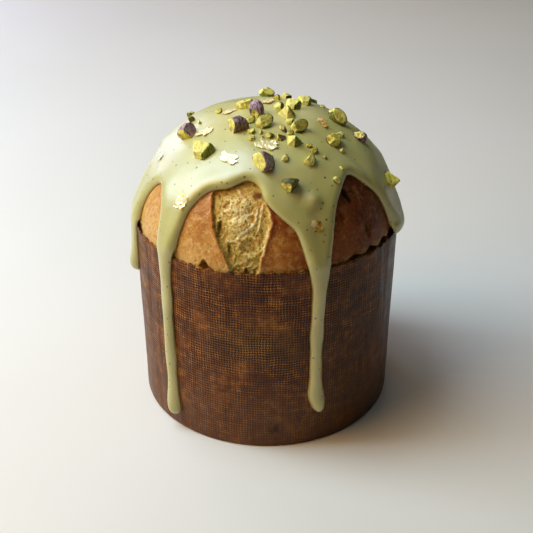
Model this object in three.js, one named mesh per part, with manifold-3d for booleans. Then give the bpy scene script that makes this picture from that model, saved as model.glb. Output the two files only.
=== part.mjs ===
// A tall pistachio panettone in its paper case, with a poured glaze, chopped nuts and foil flakes on top.
// Millimetres, +Z up, origin at the middle of the base. Azimuth 0 is the front (-Y) and grows towards +X.
import * as THREE from "three";
import { mergeVertices } from "three/addons/utils/BufferGeometryUtils.js";
import Module from "manifold-3d";

const wasm = await Module();
wasm.setup();

// Driving dimensions
const CASE_TOP_R = 67; // the mould is 134 mm across its mouth
const CASE_BASE_R = 66;
const CASE_H = 101.5; // mean height of the pinked rim
const PAPER = 0.8; // the case's wall and floor
const GAP = 0.3; // between pieces that touch

const DOME_R = 66.3; // crust: half-width where it swells over the rim
const DOME_Z = 91.7; // height of that widest ring
const DOME_H = 62.6; // from the widest ring up to the crown
const DOME_POWER = 2.2; // 2 would be an ellipsoid

const GLAZE = 2.1; // coat on the crown
const UNDERSIDE = GAP + 0.2; // facets of the coat's underside stay clear of the crust
const LIP = 1.9; // how far in from its edge the coat reaches full thickness
const SUNK = 2; // how far each piece of glaze starts under the face it is cut to
const FULL_TURN = 360;

const RIM_OVER = 107; // above this height the glaze lies on crust
const RIM_UNDER = 103.4; // below this on paper, clear of the tallest tooth

const PINKS = 84; // teeth cut round the paper's rim
const PINK_DEPTH = 1.5;

// Runs of glaze: azimuth in degrees, half-width, height of the tip, and thickness
const DRIPS = [
  { azimuth: -80, half: 3.8, tip: 72.5, thick: 2.7 },
  { azimuth: -45.7, half: 3.9, tip: 7.5, thick: 2.6 },
  { azimuth: 21.4, half: 3.6, tip: 19.5, thick: 2.8 },
  { azimuth: 75.8, half: 6, tip: 97, thick: 3.2 },
  { azimuth: 113, half: 3.7, tip: 56, thick: 2.6 },
  { azimuth: 152, half: 4.1, tip: 30, thick: 2.7 },
  { azimuth: 199, half: 3.4, tip: 79, thick: 2.7 },
  { azimuth: 238, half: 4.0, tip: 43, thick: 2.7 },
];

// The coat's edge between one run and the next arches over bare crust: [azimuth, height] from foot to foot
const CAP_FOOT = 104.5; // every arch starts here, just above the paper, and only the runs go on
const ARCHES = [
  [[-73, 104.5], [-72.6, 113], [-71.2, 119], [-68.5, 125],
    [-63.8, 128], [-58.5, 125.5], [-53.5, 118], [-51, 104.5]],
  [[-40.5, 104.5], [-39.3, 115], [-36.8, 125.5], [-30, 133.2], [-20.5, 135.6], [-11.5, 138.8],
    [-4.5, 137.4], [-0.6, 132], [7, 125.3], [13, 119], [16.5, 104.5]],
  [[26.6, 104.5], [29, 114.5], [33, 125], [40, 132], [49.7, 136], [56, 131], [62.5, 122.5], [67.5, 104.5]],
  [[84, 104.5], [86, 114], [90, 121.5], [96, 124.5], [103, 120], [107.5, 104.5]],
  [[118.5, 104.5], [120.5, 116], [125, 127], [131, 132], [139, 127], [146.5, 104.5]],
  [[157.5, 104.5], [160, 117], [165, 127], [174, 134], [184, 134], [191, 125], [195, 104.5]],
  [[203.5, 104.5], [206, 115], [211, 124], [217, 127], [225, 122], [233, 104.5]],
  [[243.5, 104.5], [246.5, 116], [252, 126], [261, 131.5], [269, 126], [274.5, 104.5]],
];

// Ways in which a kernel breaks: half-sizes, then the planes that cut it as [x, y, z, offset].
// All are shares of half its length, with -Y to the front and +Z off the coat
const SHAPES = {
  wedge: {
    size: [1.05, 0.9, 0.78],
    cuts: [[-0.8, -0.6, 0.05, 0.52], [0.62, -0.78, 0.1, 0.5], [0.15, 1, 0.1, 0.55]],
  },
  ridge: {
    size: [1.05, 0.75, 0.8],
    cuts: [[-0.7, -0.45, 0.5, 0.36], [0.8, -0.1, 0.45, 0.5], [0.1, 1, 0.2, 0.45]],
  },
  block: {
    size: [1.15, 1, 0.85],
    cuts: [[-1, -0.1, 0.15, 0.72], [-0.45, -0.9, 0.2, 0.66], [0.55, -0.8, 0.3, 0.72],
      [0.1, 0.95, 0.25, 0.6], [-0.15, -0.25, 1, 0.42]],
  },
  half: {
    size: [1, 0.62, 0.66],
    cuts: [[-0.9, -0.5, 0.2, 0.75], [0.1, -0.75, 0.7, 0.34], [0.2, 1, 0.1, 0.48]],
  },
  whole: {
    size: [1, 0.68, 0.72],
    cuts: [[0.95, -0.1, -0.2, 0.78]],
  },
  slab: {
    size: [1.15, 0.8, 0.6],
    cuts: [[0, 0, 1, 0.28], [-0.9, 0.5, 0.1, 0.75], [-0.7, -0.8, 0.1, 0.62], [1, -0.2, 0.1, 0.85],
      [0.3, 1, 0, 0.5], [0.2, -1, 0.2, 0.5]],
  },
  pyramid: {
    size: [1.3, 1.3, 1.3],
    cuts: [[-0.78, -0.35, 0.5, 0.42], [0.72, -0.4, 0.5, 0.42], [0.05, 0.85, 0.5, 0.42],
      [0.1, -0.9, 0.42, 0.45]],
  },
  shard: {
    size: [1.1, 0.5, 0.55],
    cuts: [[-0.6, -0.7, 0.6, 0.35], [0.7, -0.5, 0.6, 0.5], [0.2, 0.9, 0.4, 0.3]],
  },
};
const RISE = 0.22; // height of a piece's middle over the coat, as a share of its length

// Large pieces of nut: azimuth, distance down from the crown, length, yaw from the front, and tilt
const CHUNKS = [
  { shape: "wedge", azimuth: -75, down: 39.5, length: 10, yaw: 25, tilt: -10 },
  { shape: "block", azimuth: -47, down: 41.5, length: 11, yaw: -20, tilt: 10 },
  { shape: "wedge", azimuth: -35.5, down: 23, length: 11, yaw: -15, tilt: 20 },
  { shape: "whole", azimuth: -35, down: 8, length: 10.5, yaw: 95, tilt: -45 },
  { shape: "slab", azimuth: -104, down: 11, length: 9.5, yaw: -8, tilt: 0 },
  { shape: "half", azimuth: -3.5, down: 17.5, length: 10, yaw: 35, tilt: -10 },
  { shape: "ridge", azimuth: -2, down: 42.5, length: 13.5, yaw: 5, tilt: 0 },
  { shape: "pyramid", azimuth: 52, down: 12.5, length: 9, yaw: 20, tilt: 0 },
  { shape: "block", azimuth: 106, down: 13, length: 7.6, yaw: 10, tilt: 0 },
  { shape: "block", azimuth: 125.5, down: 22.5, length: 7.6, yaw: 30, tilt: 5 },
  { shape: "half", azimuth: 38, down: 24, length: 9.5, yaw: 30, tilt: -15 },
  { shape: "half", azimuth: 92, down: 34, length: 11, yaw: -15, tilt: 15 },
  { shape: "shard", azimuth: 83, down: 47, length: 8.5, yaw: 10, tilt: 0 },
  { shape: "block", azimuth: 57.5, down: 38, length: 8, yaw: 50, tilt: 10 },
  { shape: "pyramid", azimuth: 23, down: 32, length: 8, yaw: -20, tilt: 0 },
  { shape: "block", azimuth: 27.5, down: 43.5, length: 5.8, yaw: 60, tilt: 0 },
  { shape: "wedge", azimuth: 12, down: 53.5, length: 8.6, yaw: 20, tilt: 0 },
  { shape: "pyramid", azimuth: 78, down: 72, length: 9.5, yaw: 20, tilt: 0 },
  { shape: "half", azimuth: 180, down: 26.5, length: 8.5, yaw: 10, tilt: 10 },
  { shape: "wedge", azimuth: 201, down: 61, length: 8.5, yaw: 50, tilt: 10 },
  { shape: "block", azimuth: 152, down: 45, length: 10, yaw: 10, tilt: 10 },
  { shape: "half", azimuth: 238, down: 76, length: 8, yaw: 120, tilt: 10 },
];

// Small bits of nut, part of the coat's solid: shape, azimuth, distance down, length, yaw from the front
const BITS = [
  ["half", -28, 16, 5.6, 25],
  ["block", -17.5, 24, 3.8, 10],
  ["block", -14, 28.5, 3.8, 50],
  ["shard", -6, 24, 3.2, 95],
  ["shard", 3, 26.5, 5.2, 15],
  ["shard", -3.5, 28, 3.2, 80],
  ["pyramid", 12, 28, 5, -10],
  ["block", 37, 18, 4.2, 30],
  ["shard", 20, 22.5, 5.2, -20],
  ["half", 25, 25.8, 3.6, 15],
  ["block", 12, 40.5, 4, 70],
  ["half", 38, 55.5, 4.8, -8],
  ["half", 33.5, 35.5, 3.3, 5],
  ["block", 34.5, 39, 3.6, 40],
  ["block", 39.5, 43.5, 2.1, 0],
  ["half", 45, 51, 2.6, -30],
  ["wedge", -99, 38, 4.2, -30],
  ["shard", -85, 32.5, 3.4, -50],
  ["half", -94.5, 23, 4.2, 10],
  ["block", 70, 38, 3.6, 20],
  ["block", 56, 44, 2.8, 60],
  ["half", 123, 33.5, 2.8, 0],
  ["wedge", 161, 16, 4.2, 40],
  ["block", 157, 24.5, 5.4, -15],
  ["block", 88, 5.5, 5.4, 20],
  ["shard", 143, 31.5, 5, 80],
  ["half", -152, 56, 4, 30],
  ["block", -128, 66, 3.6, 75],
  ["wedge", 165, 54, 4.6, 10],
  ["half", 215, 61, 4, 110],
  ["block", 170, 40, 3.4, 20],
  ["shard", 236, 47, 3.6, 60],
  ["half", -120, 46, 4, 140],
  ["block", 190, 60, 3, 35],
  ["half", 132, 58, 4, 15],
];

// Foil flakes: azimuth, distance down, length, width, yaw from the front
const FLAKES = [
  [-42, 66, 9.4, 8, 70],
  [-25.5, 41.5, 10.5, 6, -35],
  [-64, 32, 9, 6, 10],
  [1, 31.5, 11.5, 7, -5],
  [177, 9.5, 11, 6.5, 50],
  [-89, 18, 8.5, 5.5, 5],
  [76, 27.5, 8.6, 4.6, -70],
  [21.5, 72.5, 6.6, 5, -30],
  [-79, 57, 4, 3, 60],
  [186, 48, 9, 6, 20],
  [228, 58, 8, 5, 120],
];

// The tear in the crust where the crumb shows: rows of height, left and right azimuth
const TEAR = [
  { z: 101, left: -14.5, right: -3.4 },
  { z: 106, left: -16.6, right: -2.4 },
  { z: 110, left: -18.2, right: -1.6 },
  { z: 114, left: -20.7, right: -0.6 },
  { z: 119, left: -23.4, right: 0.8 },
  { z: 124, left: -25.2, right: 2.3 },
  { z: 128, left: -26.5, right: 1.6 },
  { z: 134, left: -28.6, right: -1.5 },
  { z: 140, left: -30.5, right: -4 },
];
const TEAR_DEPTH = 1.7;
// Gas bubbles torn open in it: azimuth, height, half-width, half-height, depth (less than 0 stands out)
const BUBBLES = [
  { azimuth: -19.5, z: 129.9, w: 2.4, h: 2.8, depth: 1 },
  { azimuth: -20.9, z: 119.9, w: 1.8, h: 3.6, depth: 1.8 },
  { azimuth: -12.5, z: 122.3, w: 6.4, h: 4.2, depth: -1.2 },
  { azimuth: -13.3, z: 130, w: 6.6, h: 4.6, depth: -1.1 },
  { azimuth: -7, z: 113.4, w: 5, h: 4.6, depth: 1.3 },
  { azimuth: -15.3, z: 110.9, w: 1.8, h: 4, depth: 1.2 },
];
// Two smaller splits in the crust to the right
const SPLITS = [
  { azimuth: 41.5, z: 128.5, w: 2.6, h: 9, lean: 0.22, depth: 1.8 },
  { azimuth: 52.5, z: 115.5, w: 1.3, h: 5.2, lean: -0.12, depth: 2.2 },
];

// Fixed draws
function draws(seed) {
  let state = seed;
  return () => {
    state = (state * 16807) % 2147483647;
    return state / 2147483647;
  };
}

const radians = THREE.MathUtils.degToRad;
const clamp = THREE.MathUtils.clamp;
const smooth = (low, high, x) => THREE.MathUtils.smoothstep(x, low, high);

// The direction of an azimuth in plan
function plan(azimuth) {
  const a = radians(azimuth);
  return [Math.sin(a), -Math.cos(a)];
}

// The crust is a little uneven all round
function swell(azimuth, z) {
  const a = radians(azimuth);
  const up = smooth(RIM_OVER, 126, z) * (1 - smooth(146, 155, z));
  const broad = 0.45 * Math.sin(2 * a + 0.8) + 0.35 * Math.sin(3 * a - z / 14);
  return up * (broad + 0.2 * Math.sin(7 * a + z / 9));
}

// Outer radius of the paper case
function caseRadius(z) {
  return THREE.MathUtils.lerp(CASE_BASE_R, CASE_TOP_R, clamp(z / CASE_H, 0, 1));
}

function domeRadius(z) {
  const up = clamp((z - DOME_Z) / DOME_H, 0, 1);
  return DOME_R * (1 - up ** DOME_POWER) ** (1 / DOME_POWER);
}

// The meridian that the glaze lies on: the dome, then over the rim and down the paper.
// A list of { s, r, z, nr, nz }, with s the distance from the crown
const meridian = (() => {
  const points = [];
  const DOME_STEPS = 400;
  for (let i = 0; i <= DOME_STEPS; i++) {
    const t = ((i / DOME_STEPS) * Math.PI) / 2;
    const z = DOME_Z + DOME_H * Math.cos(t) ** (2 / DOME_POWER);
    if (z < RIM_OVER) break;
    points.push({ r: DOME_R * Math.sin(t) ** (2 / DOME_POWER), z });
  }
  const STEP = 0.5;
  for (let z = RIM_OVER - STEP; z > 0; z -= STEP) {
    const onPaper = 1 - smooth(RIM_UNDER, RIM_OVER, z);
    points.push({ r: THREE.MathUtils.lerp(domeRadius(z), caseRadius(z), onPaper), z });
  }
  let s = 0;
  points.forEach((p, i) => {
    if (i) s += Math.hypot(p.r - points[i - 1].r, p.z - points[i - 1].z);
    p.s = s;
  });
  points.forEach((p, i) => {
    const a = points[Math.max(i - 1, 0)];
    const b = points[Math.min(i + 1, points.length - 1)];
    const length = Math.hypot(b.r - a.r, b.z - a.z);
    p.nr = i ? (a.z - b.z) / length : 0;
    p.nz = i ? (b.r - a.r) / length : 1;
  });
  return points;
})();

function lookUp(key, value) {
  const falling = key === "z";
  let low = 0;
  let high = meridian.length - 1;
  while (high - low > 1) {
    const middle = (low + high) >> 1;
    if (meridian[middle][key] < value === !falling) low = middle;
    else high = middle;
  }
  const a = meridian[low];
  const b = meridian[high];
  const f = clamp((value - a[key]) / (b[key] - a[key]), 0, 1);
  const mix = (name) => a[name] + (b[name] - a[name]) * f;
  return { s: mix("s"), r: mix("r"), z: mix("z"), nr: mix("nr"), nz: mix("nz") };
}
const distanceAt = (z) => lookUp("z", z).s;

// A point at a distance down the meridian, lifted off the base along its normal
function onGlaze(azimuth, s, lift) {
  const m = lookUp("s", s);
  const [x, y] = plan(azimuth);
  const up = lift + swell(azimuth, m.z);
  const r = Math.max(m.r + m.nr * up, 0);
  return [r * x, r * y, m.z + m.nz * up];
}

// Mesh tools
function geometryOf(vertices, faces) {
  const g = new THREE.BufferGeometry();
  g.setAttribute("position", new THREE.BufferAttribute(new Float32Array(vertices.flat()), 3));
  g.setIndex(faces.flat());
  return g;
}

// A closed solid from profiles that run from one end on the axis to the other. profile(azimuth) gives its
// points from the top down, and all columns share the first and the last
function ringSolid(azimuths, profile) {
  const profiles = azimuths.map(profile);
  const rows = profiles[0].length - 2;
  const columns = azimuths.length;
  const vertices = [profiles[0][0]];
  profiles.forEach((p) => vertices.push(...p.slice(1, -1)));
  vertices.push(profiles[0][rows + 1]);
  const end = vertices.length - 1;
  const at = (column, row) => 1 + (column % columns) * rows + row;
  const faces = [];
  for (let c = 0; c < columns; c++) {
    faces.push([0, at(c, 0), at(c + 1, 0)]);
    for (let r = 0; r < rows - 1; r++) {
      faces.push([at(c, r), at(c, r + 1), at(c + 1, r + 1)]);
      faces.push([at(c, r), at(c + 1, r + 1), at(c + 1, r)]);
    }
    faces.push([at(c, rows - 1), end, at(c + 1, rows - 1)]);
  }
  return geometryOf(vertices, faces);
}

function solidOf(geometry) {
  const bare = geometry.clone();
  bare.deleteAttribute("normal");
  bare.deleteAttribute("uv");
  const merged = mergeVertices(bare, 1e-4);
  return new wasm.Manifold(
    new wasm.Mesh({
      numProp: 3,
      vertProperties: new Float32Array(merged.attributes.position.array),
      triVerts: new Uint32Array(merged.index.array),
    }),
  );
}

function geometryFrom(solid) {
  const mesh = solid.getMesh();
  const g = new THREE.BufferGeometry();
  g.setAttribute("position", new THREE.BufferAttribute(mesh.vertProperties, 3));
  g.setIndex(new THREE.BufferAttribute(mesh.triVerts, 1));
  return g;
}

// The one largest body of a solid, without any scrap that a cut leaves loose
function largestBody(solid) {
  return solid.decompose().reduce((a, b) => (a.volume() > b.volume() ? a : b));
}

// Paper case
function caseGeometry() {
  const azimuths = [];
  for (let i = 0; i < 2 * PINKS; i++) azimuths.push((i * 180) / PINKS);
  const FLOOR_EDGE = 1.5; // the folded corner at the base
  return ringSolid(azimuths, (azimuth) => {
    const tooth = Math.round((azimuth * PINKS) / 180) % 2 ? -0.5 : 0.5;
    const a = radians(azimuth);
    const top = CASE_H + PINK_DEPTH * tooth + 0.5 * Math.sin(3 * a + 1) + 0.3 * Math.sin(5 * a);
    const [x, y] = plan(azimuth);
    const at = (r, z) => [r * x, r * y, z];
    return [
      [0, 0, PAPER],
      at(caseRadius(0) - PAPER, PAPER),
      at(caseRadius(top) - PAPER, top),
      at(caseRadius(top), top),
      at(caseRadius(FLOOR_EDGE), FLOOR_EDGE),
      at(caseRadius(0) - FLOOR_EDGE, 0),
      [0, 0, 0],
    ];
  });
}

// Loaf
function tearEdges(z) {
  const i = clamp(TEAR.findIndex((row) => row.z > z) - 1, 0, TEAR.length - 2);
  const f = clamp((z - TEAR[i].z) / (TEAR[i + 1].z - TEAR[i].z), 0, 1);
  return [
    THREE.MathUtils.lerp(TEAR[i].left, TEAR[i + 1].left, f),
    THREE.MathUtils.lerp(TEAR[i].right, TEAR[i + 1].right, f),
  ];
}

// How far the surface of the loaf lies below its even form
function relief(azimuth, z) {
  const PROUD = 0.2; // the most that a bubble may stand out, so that it stays under the coat
  if (z < TEAR[0].z - 2 || z > TEAR.at(-1).z + 1) return 0;
  const perDegree = (domeRadius(z) * Math.PI) / 180;
  const [left, right] = tearEdges(z);
  const inside = Math.min(azimuth - left, right - azimuth) * perDegree;
  let down = TEAR_DEPTH * smooth(0, 1.2, inside);
  for (const b of BUBBLES) {
    const d = Math.hypot(((azimuth - b.azimuth) * perDegree) / b.w, (z - b.z) / b.h);
    if (inside > 0) down += b.depth * (1 - smooth(0.5, 1.1, d));
  }
  for (const c of SPLITS) {
    const along = (azimuth - c.azimuth) * perDegree + c.lean * (z - c.z);
    down += c.depth * (1 - smooth(0.3, 1, Math.hypot(along / c.w, (z - c.z) / c.h)));
  }
  return Math.max(down, -PROUD);
}

function loafGeometry() {
  const azimuths = [];
  const COARSE = 8.5;
  const FINE = 2.2;
  const spans = [
    { from: -30, to: 6, step: FINE },
    { from: 6, to: 35, step: COARSE },
    { from: 35, to: 57, step: FINE },
    { from: 57, to: 330, step: COARSE },
  ];
  for (const { from, to, step } of spans) {
    const count = Math.round((to - from) / step);
    for (let i = 0; i < count; i++) azimuths.push(from + ((to - from) * i) / count);
  }
  const crownRows = [4, 12, 21, 29].map((down) => lookUp("s", down).z);
  const showRows = [];
  for (let z = 145; z > 101; z -= 2.7) showRows.push(z);
  const inCase = [98, 94, 60, 4];
  return ringSolid(azimuths, (azimuth) => {
    const [x, y] = plan(azimuth);
    const wrapped = azimuth > 180 ? azimuth - 360 : azimuth;
    const profile = [[0, 0, DOME_Z + DOME_H]];
    for (const z of [...crownRows, ...showRows]) {
      const m = lookUp("z", z);
      const up = swell(azimuth, z) - relief(wrapped, z);
      const r = Math.min(domeRadius(z), caseRadius(z) - PAPER - GAP);
      profile.push([(r + m.nr * up) * x, (r + m.nr * up) * y, z + m.nz * up]);
    }
    for (const z of inCase) {
      const r = caseRadius(z) - PAPER - GAP;
      profile.push([r * x, r * y, z]);
    }
    const bottom = PAPER + GAP;
    const heel = caseRadius(0) - PAPER - 3;
    profile.push([heel * x, heel * y, bottom], [0, 0, bottom]);
    return profile;
  });
}

// Glaze
function capColumns() {
  const EDGE_STEP = 8.5; // between columns, along the arch
  return ARCHES.flatMap((points, i) => {
    const arch = new THREE.SplineCurve(points.map(([azimuth, z]) => new THREE.Vector2(azimuth, z)));
    const columns = arch.getSpacedPoints(Math.round(arch.getLength() / EDGE_STEP));
    const foot = points[points.length - 1][0];
    const next = i + 1 < ARCHES.length ? ARCHES[i + 1][0][0] : ARCHES[0][0][0] + FULL_TURN;
    columns.push(new THREE.Vector2((foot + next) / 2, CAP_FOOT));
    return columns.map(({ x, y }) => ({ azimuth: x, edge: y }));
  });
}

// The coat's outer form, filled in down to the middle of the loaf; what lies under it is cut away later
function capForm() {
  const columns = capColumns();
  const edges = new Map(columns.map((c) => [c.azimuth, distanceAt(c.edge)]));
  const OUTER = [0.12, 0.3, 0.48, 0.66, 0.84];
  return solidOf(
    ringSolid(
      columns.map((c) => c.azimuth),
      (azimuth) => {
        const edge = edges.get(azimuth);
        const whole = edge - LIP;
        return [
          onGlaze(azimuth, 0, GAP + GLAZE),
          ...OUTER.map((f) => onGlaze(azimuth, f * whole, GAP + GLAZE)),
          onGlaze(azimuth, whole, GAP + GLAZE * 1.05),
          onGlaze(azimuth, edge - LIP * 0.25, GAP + GLAZE * 0.8),
          onGlaze(azimuth, edge, GAP + GLAZE * 0.35),
          onGlaze(azimuth, edge, -SUNK),
          [0, 0, DOME_Z],
        ];
      },
    ),
  );
}

// Half the width of a run where it leaves the coat, between two arches' feet
function rimHalf(index) {
  const before = ARCHES[(index + ARCHES.length - 1) % ARCHES.length].at(-1)[0] - (index ? 0 : FULL_TURN);
  return (radians(ARCHES[index][0][0] - before) / 2) * CASE_TOP_R;
}

// A swelling just above a run's tip: 1 at its middle, fading to both sides
function bulb(toTip, middle) {
  const SPREAD = 7;
  return Math.exp(-(((toTip - middle) / SPREAD) ** 2));
}

// Half the width at a distance s: flared from the coat, fuller near the tip and round at its end
function dripHalf(drip, wide, s, start, end) {
  const FLARE = 10; // distance in which it narrows from the coat's edge
  const SLIM = 0.95; // of its nominal width between flare and bulb
  const FULL = 0.16;
  const flare = (wide - drip.half) * Math.min(1, Math.exp(-(s - start) / FLARE));
  const left = clamp((end - s) / drip.half, 0, 1);
  const round = Math.sqrt(Math.max(1 - (1 - left) ** 2, 0.02));
  return (drip.half * (SLIM + FULL * bulb(end - s, 7)) + flare) * round;
}

// Where the sections of a run lie, from its root on the coat to its tip
function dripStops(drip) {
  const ROOT = 6; // how far up the coat it starts
  const LONG = 8; // between sections on the paper
  const over = distanceAt(RIM_UNDER);
  const onPaper = over + 1.5;
  const end = distanceAt(drip.tip);
  const below = end - drip.half - onPaper;
  const count = Math.ceil(below / LONG);
  const stops = [distanceAt(CAP_FOOT + ROOT), distanceAt(CAP_FOOT), over];
  for (let i = 0; i <= count && below > 0; i++) stops.push(onPaper + (below * i) / count);
  stops.push(end - drip.half * 0.55, end - drip.half * 0.2, end - 0.05);
  return stops;
}

function dripForm(drip, index) {
  const ARC = 5; // facets across a section
  const WANDER = 0.5; // how far it strays from a straight line
  const foot = distanceAt(CAP_FOOT);
  const end = distanceAt(drip.tip);
  const wide = rimHalf(index);
  const stops = dripStops(drip);
  const vertices = [];
  stops.forEach((s, i) => {
    const half = dripHalf(drip, wide, s, foot, end) * (i ? 1 : 0.8);
    const { r } = lookUp("s", s);
    const wander = (WANDER * Math.sin(s / 17 + drip.azimuth)) / r;
    const height = drip.thick * (0.85 + 0.4 * bulb(end - s, 5));
    const round = Math.min(1, Math.sqrt(Math.max(end - s, 0.05) / drip.half));
    for (let k = 0; k <= ARC; k++) {
      const angle = (Math.PI * k) / ARC;
      const azimuth = drip.azimuth + THREE.MathUtils.radToDeg((-Math.cos(angle) * half) / r + wander);
      const up = k % ARC ? GAP + Math.max(height * round * Math.sin(angle), GAP) : -SUNK;
      vertices.push(onGlaze(azimuth, s, up));
    }
  });
  const row = ARC + 1;
  const faces = [];
  for (let i = 0; i < stops.length - 1; i++) {
    for (let k = 0; k < row; k++) {
      const a = i * row + k;
      const b = i * row + ((k + 1) % row);
      faces.push([a, a + row, b + row], [a, b + row, b]);
    }
  }
  for (let k = 1; k < ARC; k++) {
    const last = (stops.length - 1) * row;
    faces.push([0, k, k + 1], [last, last + k + 1, last + k]);
  }
  return solidOf(geometryOf(vertices, faces));
}

// Loaf and case together, as one plain form that the glaze lies on
function underForm() {
  const COLUMNS = 36;
  const ON_DOME = [6, 13, 20, 27, 34, 41, 48, 55, 62, 69, 76, 83];
  const FOOT_Z = 1;
  const azimuths = Array.from({ length: COLUMNS }, (_, i) => (i * 360) / COLUMNS);
  const downs = [...ON_DOME, ...[RIM_OVER, (RIM_OVER + RIM_UNDER) / 2, RIM_UNDER, FOOT_Z].map(distanceAt)];
  return solidOf(
    ringSolid(azimuths, (azimuth) => [
      onGlaze(azimuth, 0, UNDERSIDE),
      ...downs.map((down) => onGlaze(azimuth, down, UNDERSIDE)),
      [0, 0, FOOT_Z],
    ]),
  );
}

// The matrix of a place on the coat's face: +Z along its normal and +Y up the dome
function standing(azimuth, down) {
  const at = new THREE.Vector3(...onGlaze(azimuth, down, GAP + GLAZE));
  const m = lookUp("s", down);
  const [x, y] = plan(azimuth);
  const normal = new THREE.Vector3(m.nr * x, m.nr * y, m.nz);
  const across = new THREE.Vector3(-y, x, 0);
  const uphill = new THREE.Vector3().crossVectors(normal, across);
  return new THREE.Matrix4().makeBasis(across, uphill, normal).setPosition(at);
}

// A turn about the normal, after a tilt
function turned(yaw, tilt) {
  const lean = new THREE.Matrix4().makeRotationY(radians(tilt));
  return new THREE.Matrix4().makeRotationZ(radians(yaw)).multiply(lean);
}

// Part of a pistachio kernel: a long rounded seed, broken along flat faces that stray a little in each piece
function kernelChunk({ shape, length }, seed) {
  const draw = draws(seed);
  const stray = () => 0.3 * draw() - 0.15;
  const half = length / 2;
  const g = new THREE.SphereGeometry(1, 7, 5);
  g.scale(...SHAPES[shape].size.map((share) => half * share));
  let solid = solidOf(g);
  for (const [x, y, z, share] of SHAPES[shape].cuts) {
    const normal = new THREE.Vector3(x + stray(), y + stray(), z + stray()).normalize();
    solid = solid.subtract(halfSpace(normal, half * share * (0.9 + 0.2 * draw())));
  }
  return solid;
}

// Everything beyond a plane at an offset along its normal, near the origin
function halfSpace(normal, offset) {
  const FAR = 60;
  const box = new THREE.BoxGeometry(2 * FAR, 2 * FAR, 2 * FAR);
  box.translate(0, 0, FAR + offset);
  box.applyQuaternion(new THREE.Quaternion().setFromUnitVectors(new THREE.Vector3(0, 0, 1), normal));
  return solidOf(box);
}

function placed(solid, matrix) {
  return solid.transform(matrix.elements);
}

// A chunk stands on a foot cut flat, just clear of the coat
function chunkSolid(chunk, seed) {
  const lying = placed(kernelChunk(chunk, seed), turned(chunk.yaw - chunk.azimuth, chunk.tilt));
  const foot = halfSpace(new THREE.Vector3(0, 0, -1), chunk.length * RISE);
  const lifted = new THREE.Matrix4().makeTranslation(0, 0, chunk.length * RISE + GAP);
  return placed(lying.subtract(foot), standing(chunk.azimuth, chunk.down).multiply(lifted));
}

// A bit is too small to be cut, so it is a plain angular grain of its shape's proportions, sunk into the coat
function bitSolid([shape, azimuth, down, length, yaw]) {
  const PLUMP = 1.15; // makes up for the corners that the grain lacks
  const g = new THREE.OctahedronGeometry((length / 2) * PLUMP, 0);
  g.scale(...SHAPES[shape].size.map((share) => Math.min(share, 1)));
  g.applyMatrix4(turned(yaw - azimuth, 0));
  g.translate(0, 0, length * RISE * 0.5);
  return placed(solidOf(g), standing(azimuth, down));
}

// A foil flake: a thin crumpled patch with a torn outline, its top rising and falling
function flakeSolid([azimuth, down, length, width, yaw], seed) {
  const draw = draws(seed);
  const POINTS = 8;
  const THICK = 0.5;
  const DEPTH = 1; // how far it reaches into the coat
  const top = [];
  for (let i = 0; i < POINTS; i++) {
    const a = (2 * Math.PI * i) / POINTS;
    const share = 0.3 + 0.22 * draw();
    top.push([share * length * Math.cos(a), share * width * Math.sin(a), THICK * (0.4 + 0.6 * draw())]);
  }
  const under = top.map(([x, y]) => [x, y, -DEPTH]);
  const vertices = [[0, 0, THICK], ...top, [0, 0, -DEPTH], ...under];
  const faces = [];
  for (let i = 0; i < POINTS; i++) {
    const a = 1 + i;
    const b = 1 + ((i + 1) % POINTS);
    const low = POINTS + 1;
    faces.push([0, a, b], [low, low + b, low + a], [a, low + a, low + b], [a, low + b, b]);
  }
  const g = geometryOf(vertices, faces).applyMatrix4(turned(yaw - azimuth, 0));
  return placed(solidOf(g), standing(azimuth, down));
}

function glazeSolid() {
  const pieces = [
    capForm(),
    ...DRIPS.map(dripForm),
    ...BITS.map(bitSolid),
    ...FLAKES.map((f, i) => flakeSolid(f, 500 + i)),
  ];
  return largestBody(wasm.Manifold.union(pieces).subtract(underForm()));
}

// Materials
const finish = (color, roughness) => new THREE.MeshStandardMaterial({ color, roughness, metalness: 0 });
const paperBrown = finish(0x4a2d1a, 0.55);
const crustBrown = finish(0xb5702f, 0.6);
const glazeGreen = finish(0xbfc089, 0.3);
const nutGreen = finish(0x9aa03a, 0.6);

// The group
const panettone = new THREE.Group();
function add(name, geometry, material) {
  const mesh = new THREE.Mesh(geometry, material);
  mesh.name = name;
  panettone.add(mesh);
}
add("paper_case", caseGeometry(), paperBrown);
add("loaf", loafGeometry(), crustBrown);
add("glaze", geometryFrom(glazeSolid()), glazeGreen);
CHUNKS.forEach((chunk, i) => {
  add(`nut_${String(i + 1).padStart(2, "0")}`, geometryFrom(chunkSolid(chunk, 101 + 37 * i)), nutGreen);
});

export default panettone;
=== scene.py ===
import itertools
import math

import bmesh
import bpy
import numpy as np
from mathutils import Matrix, Vector
from mathutils.geometry import delaunay_2d_cdt
from mathutils.kdtree import KDTree


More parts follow.
